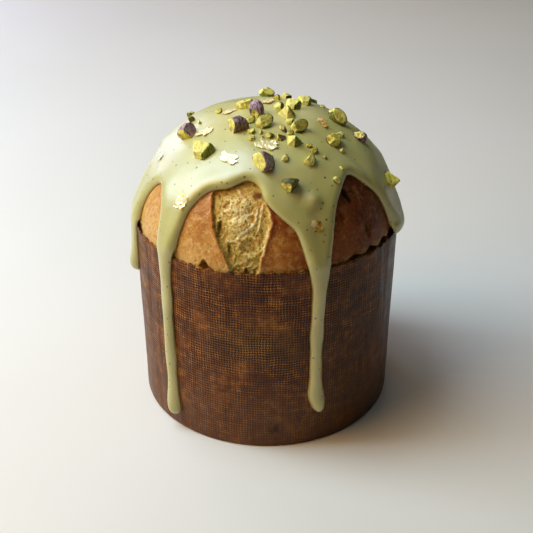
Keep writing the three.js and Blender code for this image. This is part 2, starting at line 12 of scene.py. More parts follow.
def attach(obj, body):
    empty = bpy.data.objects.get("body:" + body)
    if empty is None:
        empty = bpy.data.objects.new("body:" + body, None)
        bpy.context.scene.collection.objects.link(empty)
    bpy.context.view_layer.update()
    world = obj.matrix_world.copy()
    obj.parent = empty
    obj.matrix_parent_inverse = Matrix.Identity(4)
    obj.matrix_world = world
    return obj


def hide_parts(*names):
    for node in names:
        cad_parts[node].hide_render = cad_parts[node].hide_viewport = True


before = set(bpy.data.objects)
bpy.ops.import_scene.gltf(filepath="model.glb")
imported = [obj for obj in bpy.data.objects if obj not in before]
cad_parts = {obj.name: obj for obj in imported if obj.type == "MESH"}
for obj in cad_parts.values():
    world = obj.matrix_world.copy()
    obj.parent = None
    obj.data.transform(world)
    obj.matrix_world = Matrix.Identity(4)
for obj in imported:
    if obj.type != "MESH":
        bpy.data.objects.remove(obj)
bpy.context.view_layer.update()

MM = 0.001

# The form, as in the frame
CASE_TOP_R = 67
CASE_BASE_R = 66
CASE_H = 101.5
PAPER = 0.8
GAP = 0.3
DOME_R = 66.3
DOME_Z = 91.7
DOME_H = 62.6
DOME_POWER = 2.2
GLAZE = 2.1
# Teeth round the paper's rim
PINKS = 84
PINK_DEPTH = 1.5
# Heights between which the glaze's inner line steps from the dome out to the paper
RIM_OVER = 107
RIM_UNDER = 103.4
# Height at which the arches end and the runs begin
CAP_FOOT = 104.5
# How far a nut's middle stands off the coat, as a share of its length
RISE = 0.22

# Runs of glaze: azimuth, half-width, height of the tip, thickness, how far the tip hooks aside
DRIPS = [
    (-80, 3.8, 72.5, 2.7, -0.4),
    (-45.7, 3.7, 7.5, 2.6, 1.6),
    (21.4, 3.6, 19.5, 2.8, 1.2),
    (75.8, 6.0, 97.0, 3.2, 0.0),
    (113, 3.7, 56.0, 2.6, -0.9),
    (152, 4.1, 30.0, 2.7, 0.7),
    (199, 3.4, 79.0, 2.7, -0.6),
    (238, 4.0, 43.0, 2.7, 0.8),
]

# The coat's edge between one run and the next arches over bare crust: azimuth and height from foot to foot
ARCHES = [
    [(-73, 104.5), (-72.6, 113), (-71.2, 119), (-68.5, 125), (-63.8, 128), (-58.5, 125.5), (-53.5, 118),
     (-51, 104.5)],
    [(-40.5, 104.5), (-39.3, 115), (-36.8, 125.5), (-30, 133.2), (-20.5, 135.6), (-11.5, 138.8),
     (-4.5, 137.4), (-0.6, 132), (7, 125.3), (13, 119), (16.5, 104.5)],
    [(26.6, 104.5), (29, 114.5), (33, 125), (40, 132), (49.7, 136), (56, 131), (62.5, 122.5),
     (67.5, 104.5)],
    [(84, 104.5), (86, 114), (90, 121.5), (96, 124.5), (103, 120), (107.5, 104.5)],
    [(118.5, 104.5), (120.5, 116), (125, 127), (131, 132), (139, 127), (146.5, 104.5)],
    [(157.5, 104.5), (160, 117), (165, 127), (174, 134), (184, 134), (191, 125), (195, 104.5)],
    [(203.5, 104.5), (206, 115), (211, 124), (217, 127), (225, 122), (233, 104.5)],
    [(243.5, 104.5), (246.5, 116), (252, 126), (261, 131.5), (269, 126), (274.5, 104.5)],
]

# Ways in which a kernel breaks: half-sizes, then the planes that cut it, all as shares of half its length
SHAPES = {
    "wedge": ((1.05, 0.9, 0.78), [(-0.8, -0.6, 0.05, 0.52), (0.62, -0.78, 0.1, 0.5), (0.15, 1, 0.1, 0.55)]),
    "ridge": ((1.05, 0.75, 0.8), [(-0.7, -0.45, 0.5, 0.36), (0.8, -0.1, 0.45, 0.5), (0.1, 1, 0.2, 0.45)]),
    "block": (
        (1.15, 1.0, 0.85),
        [(-1, -0.1, 0.15, 0.72), (-0.45, -0.9, 0.2, 0.66), (0.55, -0.8, 0.3, 0.72),
         (0.1, 0.95, 0.25, 0.6), (-0.15, -0.25, 1, 0.42)],
    ),
    "half": ((1, 0.62, 0.66), [(-0.9, -0.5, 0.2, 0.75), (0.1, -0.75, 0.7, 0.34), (0.2, 1, 0.1, 0.48)]),
    "whole": ((1, 0.68, 0.72), [(0.95, -0.1, -0.2, 0.78)]),
    "slab": (
        (1.15, 0.8, 0.6),
        [(0, 0, 1, 0.28), (-0.9, 0.5, 0.1, 0.75), (-0.7, -0.8, 0.1, 0.62), (1, -0.2, 0.1, 0.85),
         (0.3, 1, 0, 0.5), (0.2, -1, 0.2, 0.5)],
    ),
    "pyramid": (
        (1.3, 1.3, 1.3),
        [(-0.78, -0.35, 0.5, 0.42), (0.72, -0.4, 0.5, 0.42), (0.05, 0.85, 0.5, 0.42),
         (0.1, -0.9, 0.42, 0.45)],
    ),
    "shard": ((1.1, 0.5, 0.55), [(-0.6, -0.7, 0.6, 0.35), (0.7, -0.5, 0.6, 0.5), (0.2, 0.9, 0.4, 0.3)]),
}

# Large pieces of nut: shape, azimuth, down, length, yaw from the front, tilt, then the tone of the skin
# (0 green, 0.5 dark, 1 purple) and how pale the flesh is
CHUNKS = [
    ("wedge", -75, 39.5, 10, 25, -10, 1.0, 0.3),
    ("block", -47, 41.5, 11, -20, 10, 0.1, 0.7),
    ("wedge", -35.5, 23, 11, -15, 20, 0.8, 0.4),
    ("whole", -35, 8, 10.5, 95, -45, 1.0, 0.3),
    ("slab", -104, 11, 9.5, -8, 0, 0.2, 0.4),
    ("half", -3.5, 17.5, 10, 35, -10, 0.1, 0.8),
    ("ridge", -2, 42.5, 13.5, 5, 0, 1.0, 0.6),
    ("pyramid", 52, 12.5, 9, 20, 0, 0.0, 0.7),
    ("block", 106, 13, 7.6, 10, 0, 0.1, 0.9),
    ("block", 125.5, 22.5, 7.6, 30, 5, 0.4, 0.8),
    ("half", 38, 24, 9.5, 30, -15, 0.2, 0.6),
    ("half", 92, 34, 11, -15, 15, 0.3, 0.5),
    ("shard", 83, 47, 8.5, 10, 0, 0.9, 0.7),
    ("block", 57.5, 38, 8, 50, 10, 0.5, 0.3),
    ("pyramid", 23, 32, 8, -20, 0, 0.1, 0.9),
    ("block", 27.5, 43.5, 5.8, 60, 0, 0.1, 1.0),
    ("wedge", 12, 53.5, 8.6, 20, 0, 0.4, 0.5),
    ("pyramid", 78, 72, 9.5, 20, 0, 0.7, 0.1),
    ("half", 180, 26.5, 8.5, 10, 10, 0.1, 0.7),
    ("wedge", 201, 61, 8.5, 50, 10, 0.8, 0.5),
    ("block", 152, 45, 10, 10, 10, 0.1, 0.7),
    ("half", 238, 76, 8, 120, 10, 0.9, 0.4),
]

# Small bits of nut: shape, azimuth, down, length, yaw from the front, tone of the skin, paleness
BITS = [
    ("half", -28, 16, 5.6, 25, 0.1, 0.7),
    ("block", -17.5, 24, 3.8, 10, 0.0, 0.6),
    ("block", -14, 28.5, 3.8, 50, 0.0, 0.6),
    ("shard", -6, 24, 3.2, 95, 0.1, 0.8),
    ("shard", 3, 26.5, 5.2, 15, 0.1, 0.6),
    ("shard", -3.5, 28, 3.2, 80, 0.6, 0.4),
    ("pyramid", 12, 28, 5, -10, 0.7, 0.1),
    ("block", 37, 18, 4.2, 30, 0.1, 0.7),
    ("shard", 20, 22.5, 5.2, -20, 0.8, 0.1),
    ("half", 25, 25.8, 3.6, 15, 0.3, 0.5),
    ("block", 12, 40.5, 4.0, 70, 0.4, 0.8),
    ("half", 38, 55.5, 4.8, -8, 0.2, 0.8),
    ("half", 33.5, 35.5, 3.3, 5, 0.7, 0.2),
    ("block", 34.5, 39, 3.6, 40, 0.4, 0.4),
    ("block", 39.5, 43.5, 2.1, 0, 0.6, 0.3),
    ("half", 45, 51, 2.6, -30, 0.1, 0.8),
    ("wedge", -99, 38, 4.2, -30, 0.4, 0.5),
    ("shard", -85, 32.5, 3.4, -50, 0.1, 0.8),
    ("half", -94.5, 23, 4.2, 10, 0.2, 0.6),
    ("block", 70, 38, 3.6, 20, 0.1, 0.9),
    ("block", 56, 44, 2.8, 60, 0.2, 0.9),
    ("half", 123, 33.5, 2.8, 0, 0.7, 0.4),
    ("wedge", 161, 16, 4.2, 40, 0.7, 0.1),
    ("block", 157, 24.5, 5.4, -15, 0.6, 0.7),
    ("block", 88, 5.5, 5.4, 20, 0.4, 0.8),
    ("shard", 143, 31.5, 5.0, 80, 0.7, 0.2),
    ("half", -152, 56, 4.0, 30, 0.2, 0.6),
    ("block", -128, 66, 3.6, 75, 0.1, 0.7),
    ("wedge", 165, 54, 4.6, 10, 0.6, 0.4),
    ("half", 215, 61, 4.0, 110, 0.1, 0.8),
    ("block", 170, 40, 3.4, 20, 0.2, 0.6),
    ("shard", 236, 47, 3.6, 60, 0.2, 0.7),
    ("half", -120, 46, 4.0, 140, 0.3, 0.5),
    ("block", 190, 60, 3.0, 35, 0.1, 0.7),
    ("half", 132, 58, 4.0, 15, 0.4, 0.6),
]

# Foil flakes: azimuth, down, length, width, yaw from the front
FLAKES = [
    (-42, 66, 9.4, 8.0, 70),
    (-25.5, 41.5, 10.5, 6.0, -35),
    (-64, 32, 9.0, 6.0, 10),
    (1, 31.5, 11.5, 7.0, -5),
    (177, 9.5, 11.0, 6.5, 50),
    (-89, 18, 8.5, 5.5, 5),
    (76, 27.5, 8.6, 4.6, -70),
    (21.5, 72.5, 6.6, 5.0, -30),
    (-79, 57, 4.0, 3.0, 60),
    (186, 48, 9, 6, 20),
    (228, 58, 8, 5, 120),
]

# The tear in the crust: height, azimuths of its left and right edges
TEAR = [
    (101, -14.5, -3.4),
    (106, -16.6, -2.4),
    (110, -18.2, -1.6),
    (114, -20.7, -0.6),
    (119, -23.4, 0.8),
    (124, -25.2, 2.3),
    (128, -26.5, 1.6),
    (134, -28.6, -1.5),
    (140, -30.5, -4.0),
]
TEAR_DEPTH = 1.7


def smooth(low, high, x):
    t = np.clip((x - low) / (high - low), 0, 1)
    return t * t * (3 - 2 * t)


def draws(seed):
    """The same fixed draws between 0 and 1 as the frame's pieces were made with."""
    state = seed
    while True:
        state = (state * 16807) % 2147483647
        yield state / 2147483647


class Noise:
    """Smooth noise of about -1 to 1, with features about one unit across."""

    def __init__(self, seed):
        rng = np.random.default_rng(seed)
        self.table = rng.permutation(256)
        directions = rng.normal(size=(256, 3))
        self.directions = directions / np.linalg.norm(directions, axis=1, keepdims=True)

    def __call__(self, points):
        cell = np.floor(points).astype(int)
        part = points - cell
        fade = part**3 * (part * (part * 6 - 15) + 10)
        total = np.zeros(len(points))
        for corner in itertools.product((0, 1), repeat=3):
            x, y, z = (cell + corner).T & 255
            way = self.directions[self.table[(self.table[(self.table[x] + y) & 255] + z) & 255]]
            weight = np.prod(np.where(corner, fade, 1 - fade), axis=1)
            total += weight * np.sum(way * (part - corner), axis=1)
        return 1.6 * total


def spline(points, per_span):
    """A smooth curve through the points."""
    p = np.array(points, float)
    p = np.vstack([p[:1], p, p[-1:]])
    t = np.linspace(0, 1, per_span, endpoint=False)[:, None]
    curve = []
    for a, b, c, d in zip(p, p[1:], p[2:], p[3:]):
        square = 2 * a - 5 * b + 4 * c - d
        cube = 3 * b - a - 3 * c + d
        curve.append(0.5 * (2 * b + (c - a) * t + square * t**2 + cube * t**3))
    curve.append(p[-1:])
    return np.vstack(curve)


def around(azimuth, r, z):
    """Points at a radius from the middle line and at a height."""
    a = np.radians(azimuth)
    return np.stack(np.broadcast_arrays(r * np.sin(a), -r * np.cos(a), z), axis=-1)


def off(azimuth, at):
    """Degrees from an azimuth, the shorter way round."""
    return (azimuth - at + 180) % 360 - 180


def case_radius(z):
    return CASE_BASE_R + (CASE_TOP_R - CASE_BASE_R) * np.clip(z / CASE_H, 0, 1)


def dome_radius(z):
    up = np.clip((z - DOME_Z) / DOME_H, 0, 1)
    return DOME_R * (1 - up**DOME_POWER) ** (1 / DOME_POWER)


def swell(azimuth, z):
    """The crust is a little uneven all round."""
    a = np.radians(azimuth)
    up = smooth(RIM_OVER, 126, z) * (1 - smooth(146, 155, z))
    return up * (0.45 * np.sin(2 * a + 0.8) + 0.35 * np.sin(3 * a - z / 14) + 0.2 * np.sin(7 * a + z / 9))


def meridian():
    """The line that the glaze lies on: down the dome, over the rim and down the paper."""
    t = np.linspace(0, math.pi / 2, 800)
    z = DOME_Z + DOME_H * np.cos(t) ** (2 / DOME_POWER)
    on_dome = z >= RIM_OVER
    r = DOME_R * np.sin(t[on_dome]) ** (2 / DOME_POWER)
    z = z[on_dome]
    below = np.arange(RIM_OVER - 0.5, 0, -0.5)
    on_paper = 1 - smooth(RIM_UNDER, RIM_OVER, below)
    under = dome_radius(below) * (1 - on_paper) + case_radius(below) * on_paper
    r = np.concatenate([r, under])
    z = np.concatenate([z, below])
    s = np.concatenate([[0], np.cumsum(np.hypot(np.diff(r), np.diff(z)))])
    along_r = np.gradient(r, s)
    along_z = np.gradient(z, s)
    along_r[0], along_z[0] = 1, 0
    return s, r, z, -along_z, along_r


LINE_S, LINE_R, LINE_Z, LINE_NR, LINE_NZ = meridian()


# Heights between which the glaze's face bridges the step at the rim
BRIDGE_LOW = 102.5
BRIDGE_HIGH = 119
BRIDGE_NZ = float(np.interp(-BRIDGE_HIGH, -LINE_Z, LINE_NZ))


def bridge(share):
    """Radius of an easy curve from the paper, where share is 0, up to the dome, where it is 1."""
    high = float(dome_radius(BRIDGE_HIGH))
    slope = high - float(dome_radius(BRIDGE_HIGH - 1))
    curve = CASE_TOP_R * (2 * share**3 - 3 * share**2 + 1) + high * (3 * share**2 - 2 * share**3)
    return curve + slope * (BRIDGE_HIGH - BRIDGE_LOW) * (share**3 - share**2)


def radius_at(s):
    return np.interp(s, LINE_S, LINE_R)


def distance_at(z):
    return np.interp(-np.asarray(z, float), -LINE_Z, LINE_S)


def on_form(azimuth, s, lift, bridging=0.0):
    """Points at a distance down from the crown, lifted off the form.

    Where bridging is 1 they pass from the crust out over the paper's rim in one easy curve.
    """
    z = np.interp(s, LINE_S, LINE_Z)
    share = np.clip((z - BRIDGE_LOW) / (BRIDGE_HIGH - BRIDGE_LOW), 0, 1)
    on_bridge = bridging * (share < 1)
    normal_z = np.interp(s, LINE_S, LINE_NZ) * (1 - on_bridge) + BRIDGE_NZ * share * on_bridge
    normal_r = np.sqrt(1 - normal_z**2)
    up = lift + swell(azimuth, z)
    line_r = radius_at(s)
    r = np.maximum(line_r + normal_r * up + np.maximum(bridge(share) - line_r, 0) * on_bridge, 0)
    return around(azimuth, r, z + normal_z * up)


# Meshes
def make_mesh(name, points, faces, material, marks=None):
    """A smooth piece, with marks at its points that the material reads."""
    mesh = bpy.data.meshes.new(name)
    mesh.from_pydata((np.asarray(points) * MM).tolist(), [], [list(map(int, f)) for f in faces])
    for mark, values in (marks or {}).items():
        attribute = mesh.attributes.new(mark, "FLOAT", "POINT")
        attribute.data.foreach_set("value", np.asarray(values, np.float32))
    mesh.materials.append(material)
    mesh.shade_smooth()
    mesh.update()
    piece = bpy.data.objects.new(name, mesh)
    bpy.context.collection.objects.link(piece)
    return piece


def grid_faces(rows, columns):
    """Quads between rings of points, facing out when rings run down and points run to the right."""
    row, column = np.meshgrid(np.arange(rows - 1), np.arange(columns), indexing="ij")
    a = row * columns + column
    b = row * columns + (column + 1) % columns
    return np.stack([a, a + columns, b + columns, b], axis=-1).reshape(-1, 4)


def fan(centre, start, columns, turned_over=False):
    """Triangles that close a ring of points with one in its middle."""
    ring = [(centre, start + i, start + (i + 1) % columns) for i in range(columns)]
    return [face[::-1] for face in ring] if turned_over else ring


# Materials
def linear(hexadecimal):
    """A colour as read off a screen, as Blender wants it."""
    parts = [int(hexadecimal[i:i + 2], 16) / 255 for i in (0, 2, 4)]
    return tuple(c / 12.92 if c <= 0.04045 else ((c + 0.055) / 1.055) ** 2.4 for c in parts) + (1,)


class Shader:
    """A material built up node by node. Most methods give the socket that they make."""

    def __init__(self, name):
        self.material = bpy.data.materials.new(name)
        self.material.use_nodes = True
        self.tree = self.material.node_tree
        self.surface = self.tree.nodes["Principled BSDF"]
        place = self.node("ShaderNodeTexCoord").outputs["Object"]
        node = self.node("ShaderNodeVectorMath", {0: place, "Scale": 1 / MM}, operation="SCALE")
        self.place = node.outputs["Vector"]

    def node(self, kind, inputs=None, **settings):
        node = self.tree.nodes.new(kind)
        for key, value in settings.items():
            setattr(node, key, value)
        for key, value in (inputs or {}).items():
            self.feed(node.inputs[key], value)
        return node

    def feed(self, socket, value):
        """Link a socket, or set it to a number, a row of numbers or a colour as read off a screen."""
        if isinstance(value, bpy.types.NodeSocket):
            self.tree.links.new(value, socket)
        else:
            socket.default_value = linear(value) if isinstance(value, str) else value

    def set(self, **inputs):
        for key, value in inputs.items():
            self.feed(self.surface.inputs[key.replace("_", " ")], value)

    def math(self, operation, a, b=0.0):
        return self.node("ShaderNodeMath", {0: a, 1: b}, operation=operation).outputs[0]

    def add(self, a, b):
        return self.math("ADD", a, b)

    def minus(self, a, b):
        return self.math("SUBTRACT", a, b)

    def times(self, a, b):
        return self.math("MULTIPLY", a, b)

    def swing(self, value, width):
        """A value between 0 and 1 as a swing of some width about 0."""
        return self.times(self.minus(value, 0.5), width)

    def parts(self):
        return self.node("ShaderNodeSeparateXYZ", {0: self.place}).outputs

    def shift(self, x, y, z):
        node = self.node("ShaderNodeVectorMath", {0: self.place, 1: (x, y, z)}, operation="ADD")
        return node.outputs["Vector"]

    def stretch(self, x, y, z):
        node = self.node("ShaderNodeVectorMath", {0: self.place, 1: (x, y, z)}, operation="MULTIPLY")
        return node.outputs["Vector"]

    def away(self, point, at=None):
        """Distance from a point."""
        node = self.node("ShaderNodeVectorMath", {0: at or self.place, 1: point}, operation="DISTANCE")
        return node.outputs["Value"]

    def noise(self, size, detail=3.0, roughness=0.5, distortion=0.0, at=None):
        inputs = {"Vector": at or self.place, "Scale": 1 / size, "Detail": detail}
        inputs.update({"Roughness": roughness, "Distortion": distortion})
        return self.node("ShaderNodeTexNoise", inputs).outputs["Fac"]

    def cells(self, size, at=None):
        """Distance from the nearest of many scattered points, in shares of their usual distance apart."""
        inputs = {"Vector": at or self.place, "Scale": 1 / size}
        return self.node("ShaderNodeTexVoronoi", inputs).outputs["Distance"]

    def within(self, value, low, high, to_low=0.0, to_high=1.0):
        inputs = {"Value": value, "From Min": low, "From Max": high, "To Min": to_low, "To Max": to_high}
        return self.node("ShaderNodeMapRange", inputs, clamp=True).outputs["Result"]

    def mix(self, factor, a, b):
        return self.node("ShaderNodeMix", {0: factor, 6: a, 7: b}, data_type="RGBA").outputs[2]

    def ramp(self, factor, *stops):
        node = self.node("ShaderNodeValToRGB", {0: factor})
        elements = node.color_ramp.elements
        while len(elements) < len(stops):
            elements.new(0.5)
        for element, (position, colour) in zip(elements, stops):
            element.position = position
            element.color = linear(colour)
        return node.outputs[0]

    def read(self, mark):
        return self.node("ShaderNodeAttribute", attribute_name=mark).outputs["Fac"]

    def bump(self, height, depth, strength, normal=None):
        inputs = {"Height": height, "Distance": depth * MM, "Strength": strength}
        if normal:
            inputs["Normal"] = normal
        return self.node("ShaderNodeBump", inputs).outputs["Normal"]


def paper_material():
    """Brown baking paper pressed with a hessian weave, with a waxy sheen and patches soaked by fat."""
    THREADS = 302
    PITCH = 2 * math.pi * CASE_TOP_R / THREADS
    s = Shader("case_paper")
    x, y, z = s.parts()
    # Each thread of the weave wanders, and passes over the next one and under the one after
    turn = s.math("ARCTAN2", x, s.times(y, -1))
    elsewhere = s.shift(37, 0, 0)
    wander = s.swing(s.noise(7, 2), 4)
    drift = s.swing(s.noise(9, 2, at=elsewhere), 5)
    across = s.math("SINE", s.add(s.times(turn, THREADS / 2), wander))
    up = s.math("SINE", s.add(s.times(z, math.pi / PITCH), drift))
    over = s.times(s.times(across, up), 0.25)
    warp = s.times(s.math("ABSOLUTE", across), s.add(over, 0.75))
    weft = s.times(s.math("ABSOLUTE", up), s.minus(0.8, over))
    weave = s.math("MAXIMUM", warp, weft)
    # Threads worn to gold in places
    slub_up = s.noise(1.3, 2, at=s.stretch(1, 1, 0.05))
    slub_round = s.noise(1.3, 2, at=s.stretch(0.07, 0.07, 1))
    worn = s.noise(4, 4, 0.65)
    thread = s.add(s.times(s.add(slub_up, slub_round), 0.4), s.add(worn, 0.6))
    cloth = s.ramp(s.within(thread, 1.0, 2.0), (0.2, "552909"), (0.5, "93531c"), (0.8, "d89235"))
    gold = s.away((-6, -33, 100), s.stretch(1, 0.5, 1.6))
    gold = s.minus(gold, s.times(s.noise(14, 4, 0.6), 36))
    cloth = s.mix(s.within(gold, -14, 14, 0.75, 0.0), cloth, s.mix(worn, "80521d", "c8924a"))
    # Dark holes between the threads, clearer in some places than in others
    hole = s.within(weave, 0.6, 0.82, 1, 0)
    clear = s.within(s.noise(17, 3, at=elsewhere), 0.36, 0.52, 0.6, 1.0)
    colour = s.mix(s.times(hole, clear), cloth, "0a0402")
    # Patches soaked by fat, a paler milky band low down that is partly wax and partly painted sheen, and a
    # right side made darker by painted shade, with some fat soaked in
    soaked = s.within(s.noise(19, 4, 0.6), 0.44, 0.62, 0.0, 0.45)
    colour = s.mix(soaked, colour, "2e1408")
    # Paler and milkier low down: partly wax, partly painted sheen
    wax_and_sheen = s.add(z, s.times(s.noise(26, 3), 40))
    colour = s.mix(s.within(wax_and_sheen, 40, 72, 0.4, 0.0), colour, "6e4a30")
    # Painted shade: darker towards the right, where the light falls off
    colour = s.mix(s.within(x, 8, 32, 0.0, 0.35), colour, "1c0d06")
    # A scorched spot low down at the front
    spot = s.add(s.away((4.6, -66, 11)), s.times(s.noise(3, 3), 8))
    colour = s.mix(s.within(spot, 4, 9, 0.85, 0), colour, "120a06")
    height = s.add(s.times(weave, clear), s.times(s.noise(0.5, 3), 0.35))
    folds = s.noise(30, 2, at=s.stretch(4, 4, 0.35))
    s.set(
        Base_Color=colour,
        Roughness=s.within(s.noise(8, 3), 0.3, 0.7, 0.42, 0.62),
        Normal=s.bump(height, 0.2, 0.9, s.bump(folds, 2.5, 0.35)),
        Specular_IOR_Level=0.12,
        Coat_Weight=0.18,
        Coat_Roughness=0.22,
        Coat_Normal=s.bump(folds, 2.5, 0.8),
    )
    return s.material


def loaf_material():
    """Baked crust, and the soft crumb where the crust has torn."""
    s = Shader("crust_and_crumb")
    x, _, z = s.parts()
    crumb = s.read("crumb")
    # Crust, browner higher up and, as painted shade, browner and darker to the right, with brown freckles
    # and pale streaks and flecks that are partly painted highlight
    baking_and_shade = s.add(s.within(z, 102, 133, -0.12, 0.28), s.within(x, -57, 48, -0.05, 0.8))
    baking_and_shade = s.add(baking_and_shade, s.swing(s.noise(11, 4, 0.6), 0.8))
    crust = s.ramp(baking_and_shade, (0.0, "dca852"), (0.3, "c48130"), (0.6, "91480e"), (0.95, "582105"))
    crust = s.mix(s.within(s.noise(1.6, 4, 0.7), 0.45, 0.64, 0, 0.55), crust, "8a4a12")
    # Painted highlight: the pale streaks and flecks show most on the lit left and fade into the shade at
    # the right
    lit_left = s.within(x, -15, 35, 1, 0.22)
    streak = s.within(s.noise(3.2, 4, 0.6, 0.6), 0.52, 0.64, 0, 0.6)
    crust = s.mix(s.times(streak, lit_left), crust, "e6b468")
    fleck = s.times(s.within(s.cells(1.6), 0.0, 0.34, 1, 0), s.within(s.noise(3.5, 2), 0.44, 0.56))
    crust = s.mix(s.times(fleck, s.times(lit_left, 0.7)), crust, "f0cf9c")
    lip = s.times(s.read("lip"), s.within(z, 106, 118, 0.1, 0.85))
    crust = s.mix(lip, crust, s.mix(s.within(x, -14, -8), "c46a18", "84300a"))
    # Paler where the crust meets the paper
    foot = s.add(z, s.times(s.noise(3.5, 3), -7))
    crust = s.mix(s.within(foot, 97.6, 100.6, 0.7, 0.0), crust, "d6b263")
    # Crumb, pale on its strings and dark in its hollows as painted shade, greener low down and toasted in
    # places
    string = s.noise(1.2, 4, 0.52, 1.8)
    level = s.add(s.read("relief"), s.swing(string, 0.45))
    soft = s.ramp(
        level, (0.0, "1c1204"), (0.22, "8f6f26"), (0.48, "c8a048"), (0.7, "dfbf6c"), (0.95, "f5e4ac")
    )
    soft = s.mix(s.within(z, 104, 126, 0.38, 0.0), soft, "949a50")
    toast = s.within(s.noise(2.6, 3), 0.52, 0.66, 0, 0.65)
    soft = s.mix(s.times(toast, s.within(level, 0.15, 0.4)), soft, "c58432")
    # A shred of crust left at the top of the tear, and painted shade in the hollow beside it
    uneven = s.times(s.noise(2, 3), 3)
    for at, reach, colour in (((-4.4, -51, 134.4), 4.2, "7c3c12"), ((-2.4, -51.3, 133.9), 3.2, "160903")):
        away = s.add(s.away(at), uneven)
        soft = s.mix(s.within(away, reach - 1, reach, 0.9, 0), soft, colour)
    peel = s.add(s.noise(0.8, 4, 0.7), s.times(s.noise(2.2, 3), 1.4))
    pit = s.within(s.cells(1.3), 0.0, 0.3)
    height = s.add(s.add(peel, s.times(pit, 0.3)), s.times(string, 0.5))
    s.set(
        Base_Color=s.mix(crumb, crust, soft),
        Roughness=s.within(crumb, 0, 1, 0.42, 0.7),
        Normal=s.bump(height, 0.4, 0.8),
        Specular_IOR_Level=0.2,
        Coat_Weight=s.times(s.within(x, -30, 20, 0.5, 0.08), s.within(crumb, 0, 1, 1, 0)),
        Coat_Roughness=0.38,
        Subsurface_Weight=0.08,
        Subsurface_Radius=(1.0, 0.7, 0.4),
        Subsurface_Scale=MM,
    )
    return s.material


def glaze_material():
    """White chocolate coloured by pistachio paste, with specks of ground nut."""
    s = Shader("pistachio_glaze")
    body = s.ramp(s.noise(22, 3, 0.5), (0.3, "b4ab5c"), (0.7, "c3bb70"))
    specks = []
    for size, radius, shift in ((4.4, 0.11, 0), (6.5, 0.1, 40)):
        specks.append(s.within(s.cells(size, s.shift(shift, shift, shift)), radius * 0.75, radius, 1, 0))
    # Browner round the lump at the front: the nut under it showing through the coat, and painted shade
    lump_tint_and_shade = s.add(s.away((20.5, -54.5, 127)), s.times(s.noise(2.5, 2), 3))
    body = s.mix(s.within(lump_tint_and_shade, 2, 5.5, 0.5, 0), body, "7a6450")
    ripple = s.add(s.noise(9, 2), s.times(s.noise(2.2, 2), 0.2))
    wavy = s.bump(ripple, 0.8, 0.3)
    s.set(
        Base_Color=s.mix(s.times(s.math("MAXIMUM", *specks), 0.85), body, "3d3a14"),
        Roughness=s.within(s.noise(7, 3), 0.3, 0.7, 0.4, 0.5),
        Normal=wavy,
        Specular_IOR_Level=0.4,
        Coat_Weight=1.0,
        Coat_Roughness=0.36,
        Coat_IOR=1.7,
        Coat_Normal=wavy,
        Subsurface_Weight=0.25,
        Subsurface_Radius=(1.0, 0.85, 0.4),
        Subsurface_Scale=2 * MM,
    )
    return s.material


def nut_material():
    """Pistachio: bright flesh on the broken faces, papery skin of green, dark or purple elsewhere."""
    s = Shader("pistachio")
    tone = s.read("tone")
    pale = s.read("pale")
    # Ridges run along the kernels
    grain = s.noise(0.9, 4, 0.6, at=s.stretch(1, 0.35, 0.35))
    patch = s.noise(2.6, 3)
    flesh = s.ramp(grain, (0.32, "a89a20"), (0.46, "e4d63c"), (0.64, "fcf284"))
    flesh = s.mix(s.times(pale, 0.6), flesh, s.ramp(patch, (0.35, "eade70"), (0.65, "fff4ac")))
    toasted = s.times(s.within(patch, 0.5, 0.6), s.within(pale, 0.0, 0.8, 0.85, 0.35))
    flesh = s.mix(toasted, flesh, "9a6d12")
    green_skin = s.ramp(grain, (0.35, "38440c"), (0.65, "a6ae34"))
    dark_skin = s.ramp(grain, (0.35, "1e1408"), (0.65, "66501c"))
    purple_skin = s.ramp(grain, (0.38, "3c211e"), (0.62, "c6a0a6"))
    cover = s.mix(s.within(tone, 0.15, 0.5), green_skin, dark_skin)
    cover = s.mix(s.within(tone, 0.6, 0.95), cover, purple_skin)
    edge = s.add(s.read("skin"), s.swing(grain, 0.5))
    s.set(
        Base_Color=s.mix(s.within(edge, 0.4, 0.6), flesh, cover),
        Roughness=s.within(grain, 0.3, 0.7, 0.4, 0.6),
        Normal=s.bump(s.add(s.times(grain, 2), s.noise(0.4, 3)), 0.25, 0.7),
        Subsurface_Weight=0.2,
        Subsurface_Radius=(1.0, 0.9, 0.3),
        Subsurface_Scale=MM,
    )
    return s.material


def foil_material():
    """Gold leaf: bright where it lies flat, deeper in the folds, with a painted highlight that whitens it
    towards the left.
    """
    s = Shader("gold_leaf")
    # Painted highlight: whiter at the left, where the light falls
    x, _, _ = s.parts()
    tone_and_glint = s.add(s.noise(2.5, 3), s.within(x, -5, 30, 0.2, -0.03))
    s.set(
        Base_Color=s.ramp(tone_and_glint, (0.34, "a8660f"), (0.5, "e8ae38"), (0.66, "fff0b8")),
        Normal=s.bump(s.noise(1.2, 3, 0.6), 0.2, 0.4),
        Metallic=0.4,
        Roughness=0.3,
    )
    return s.material


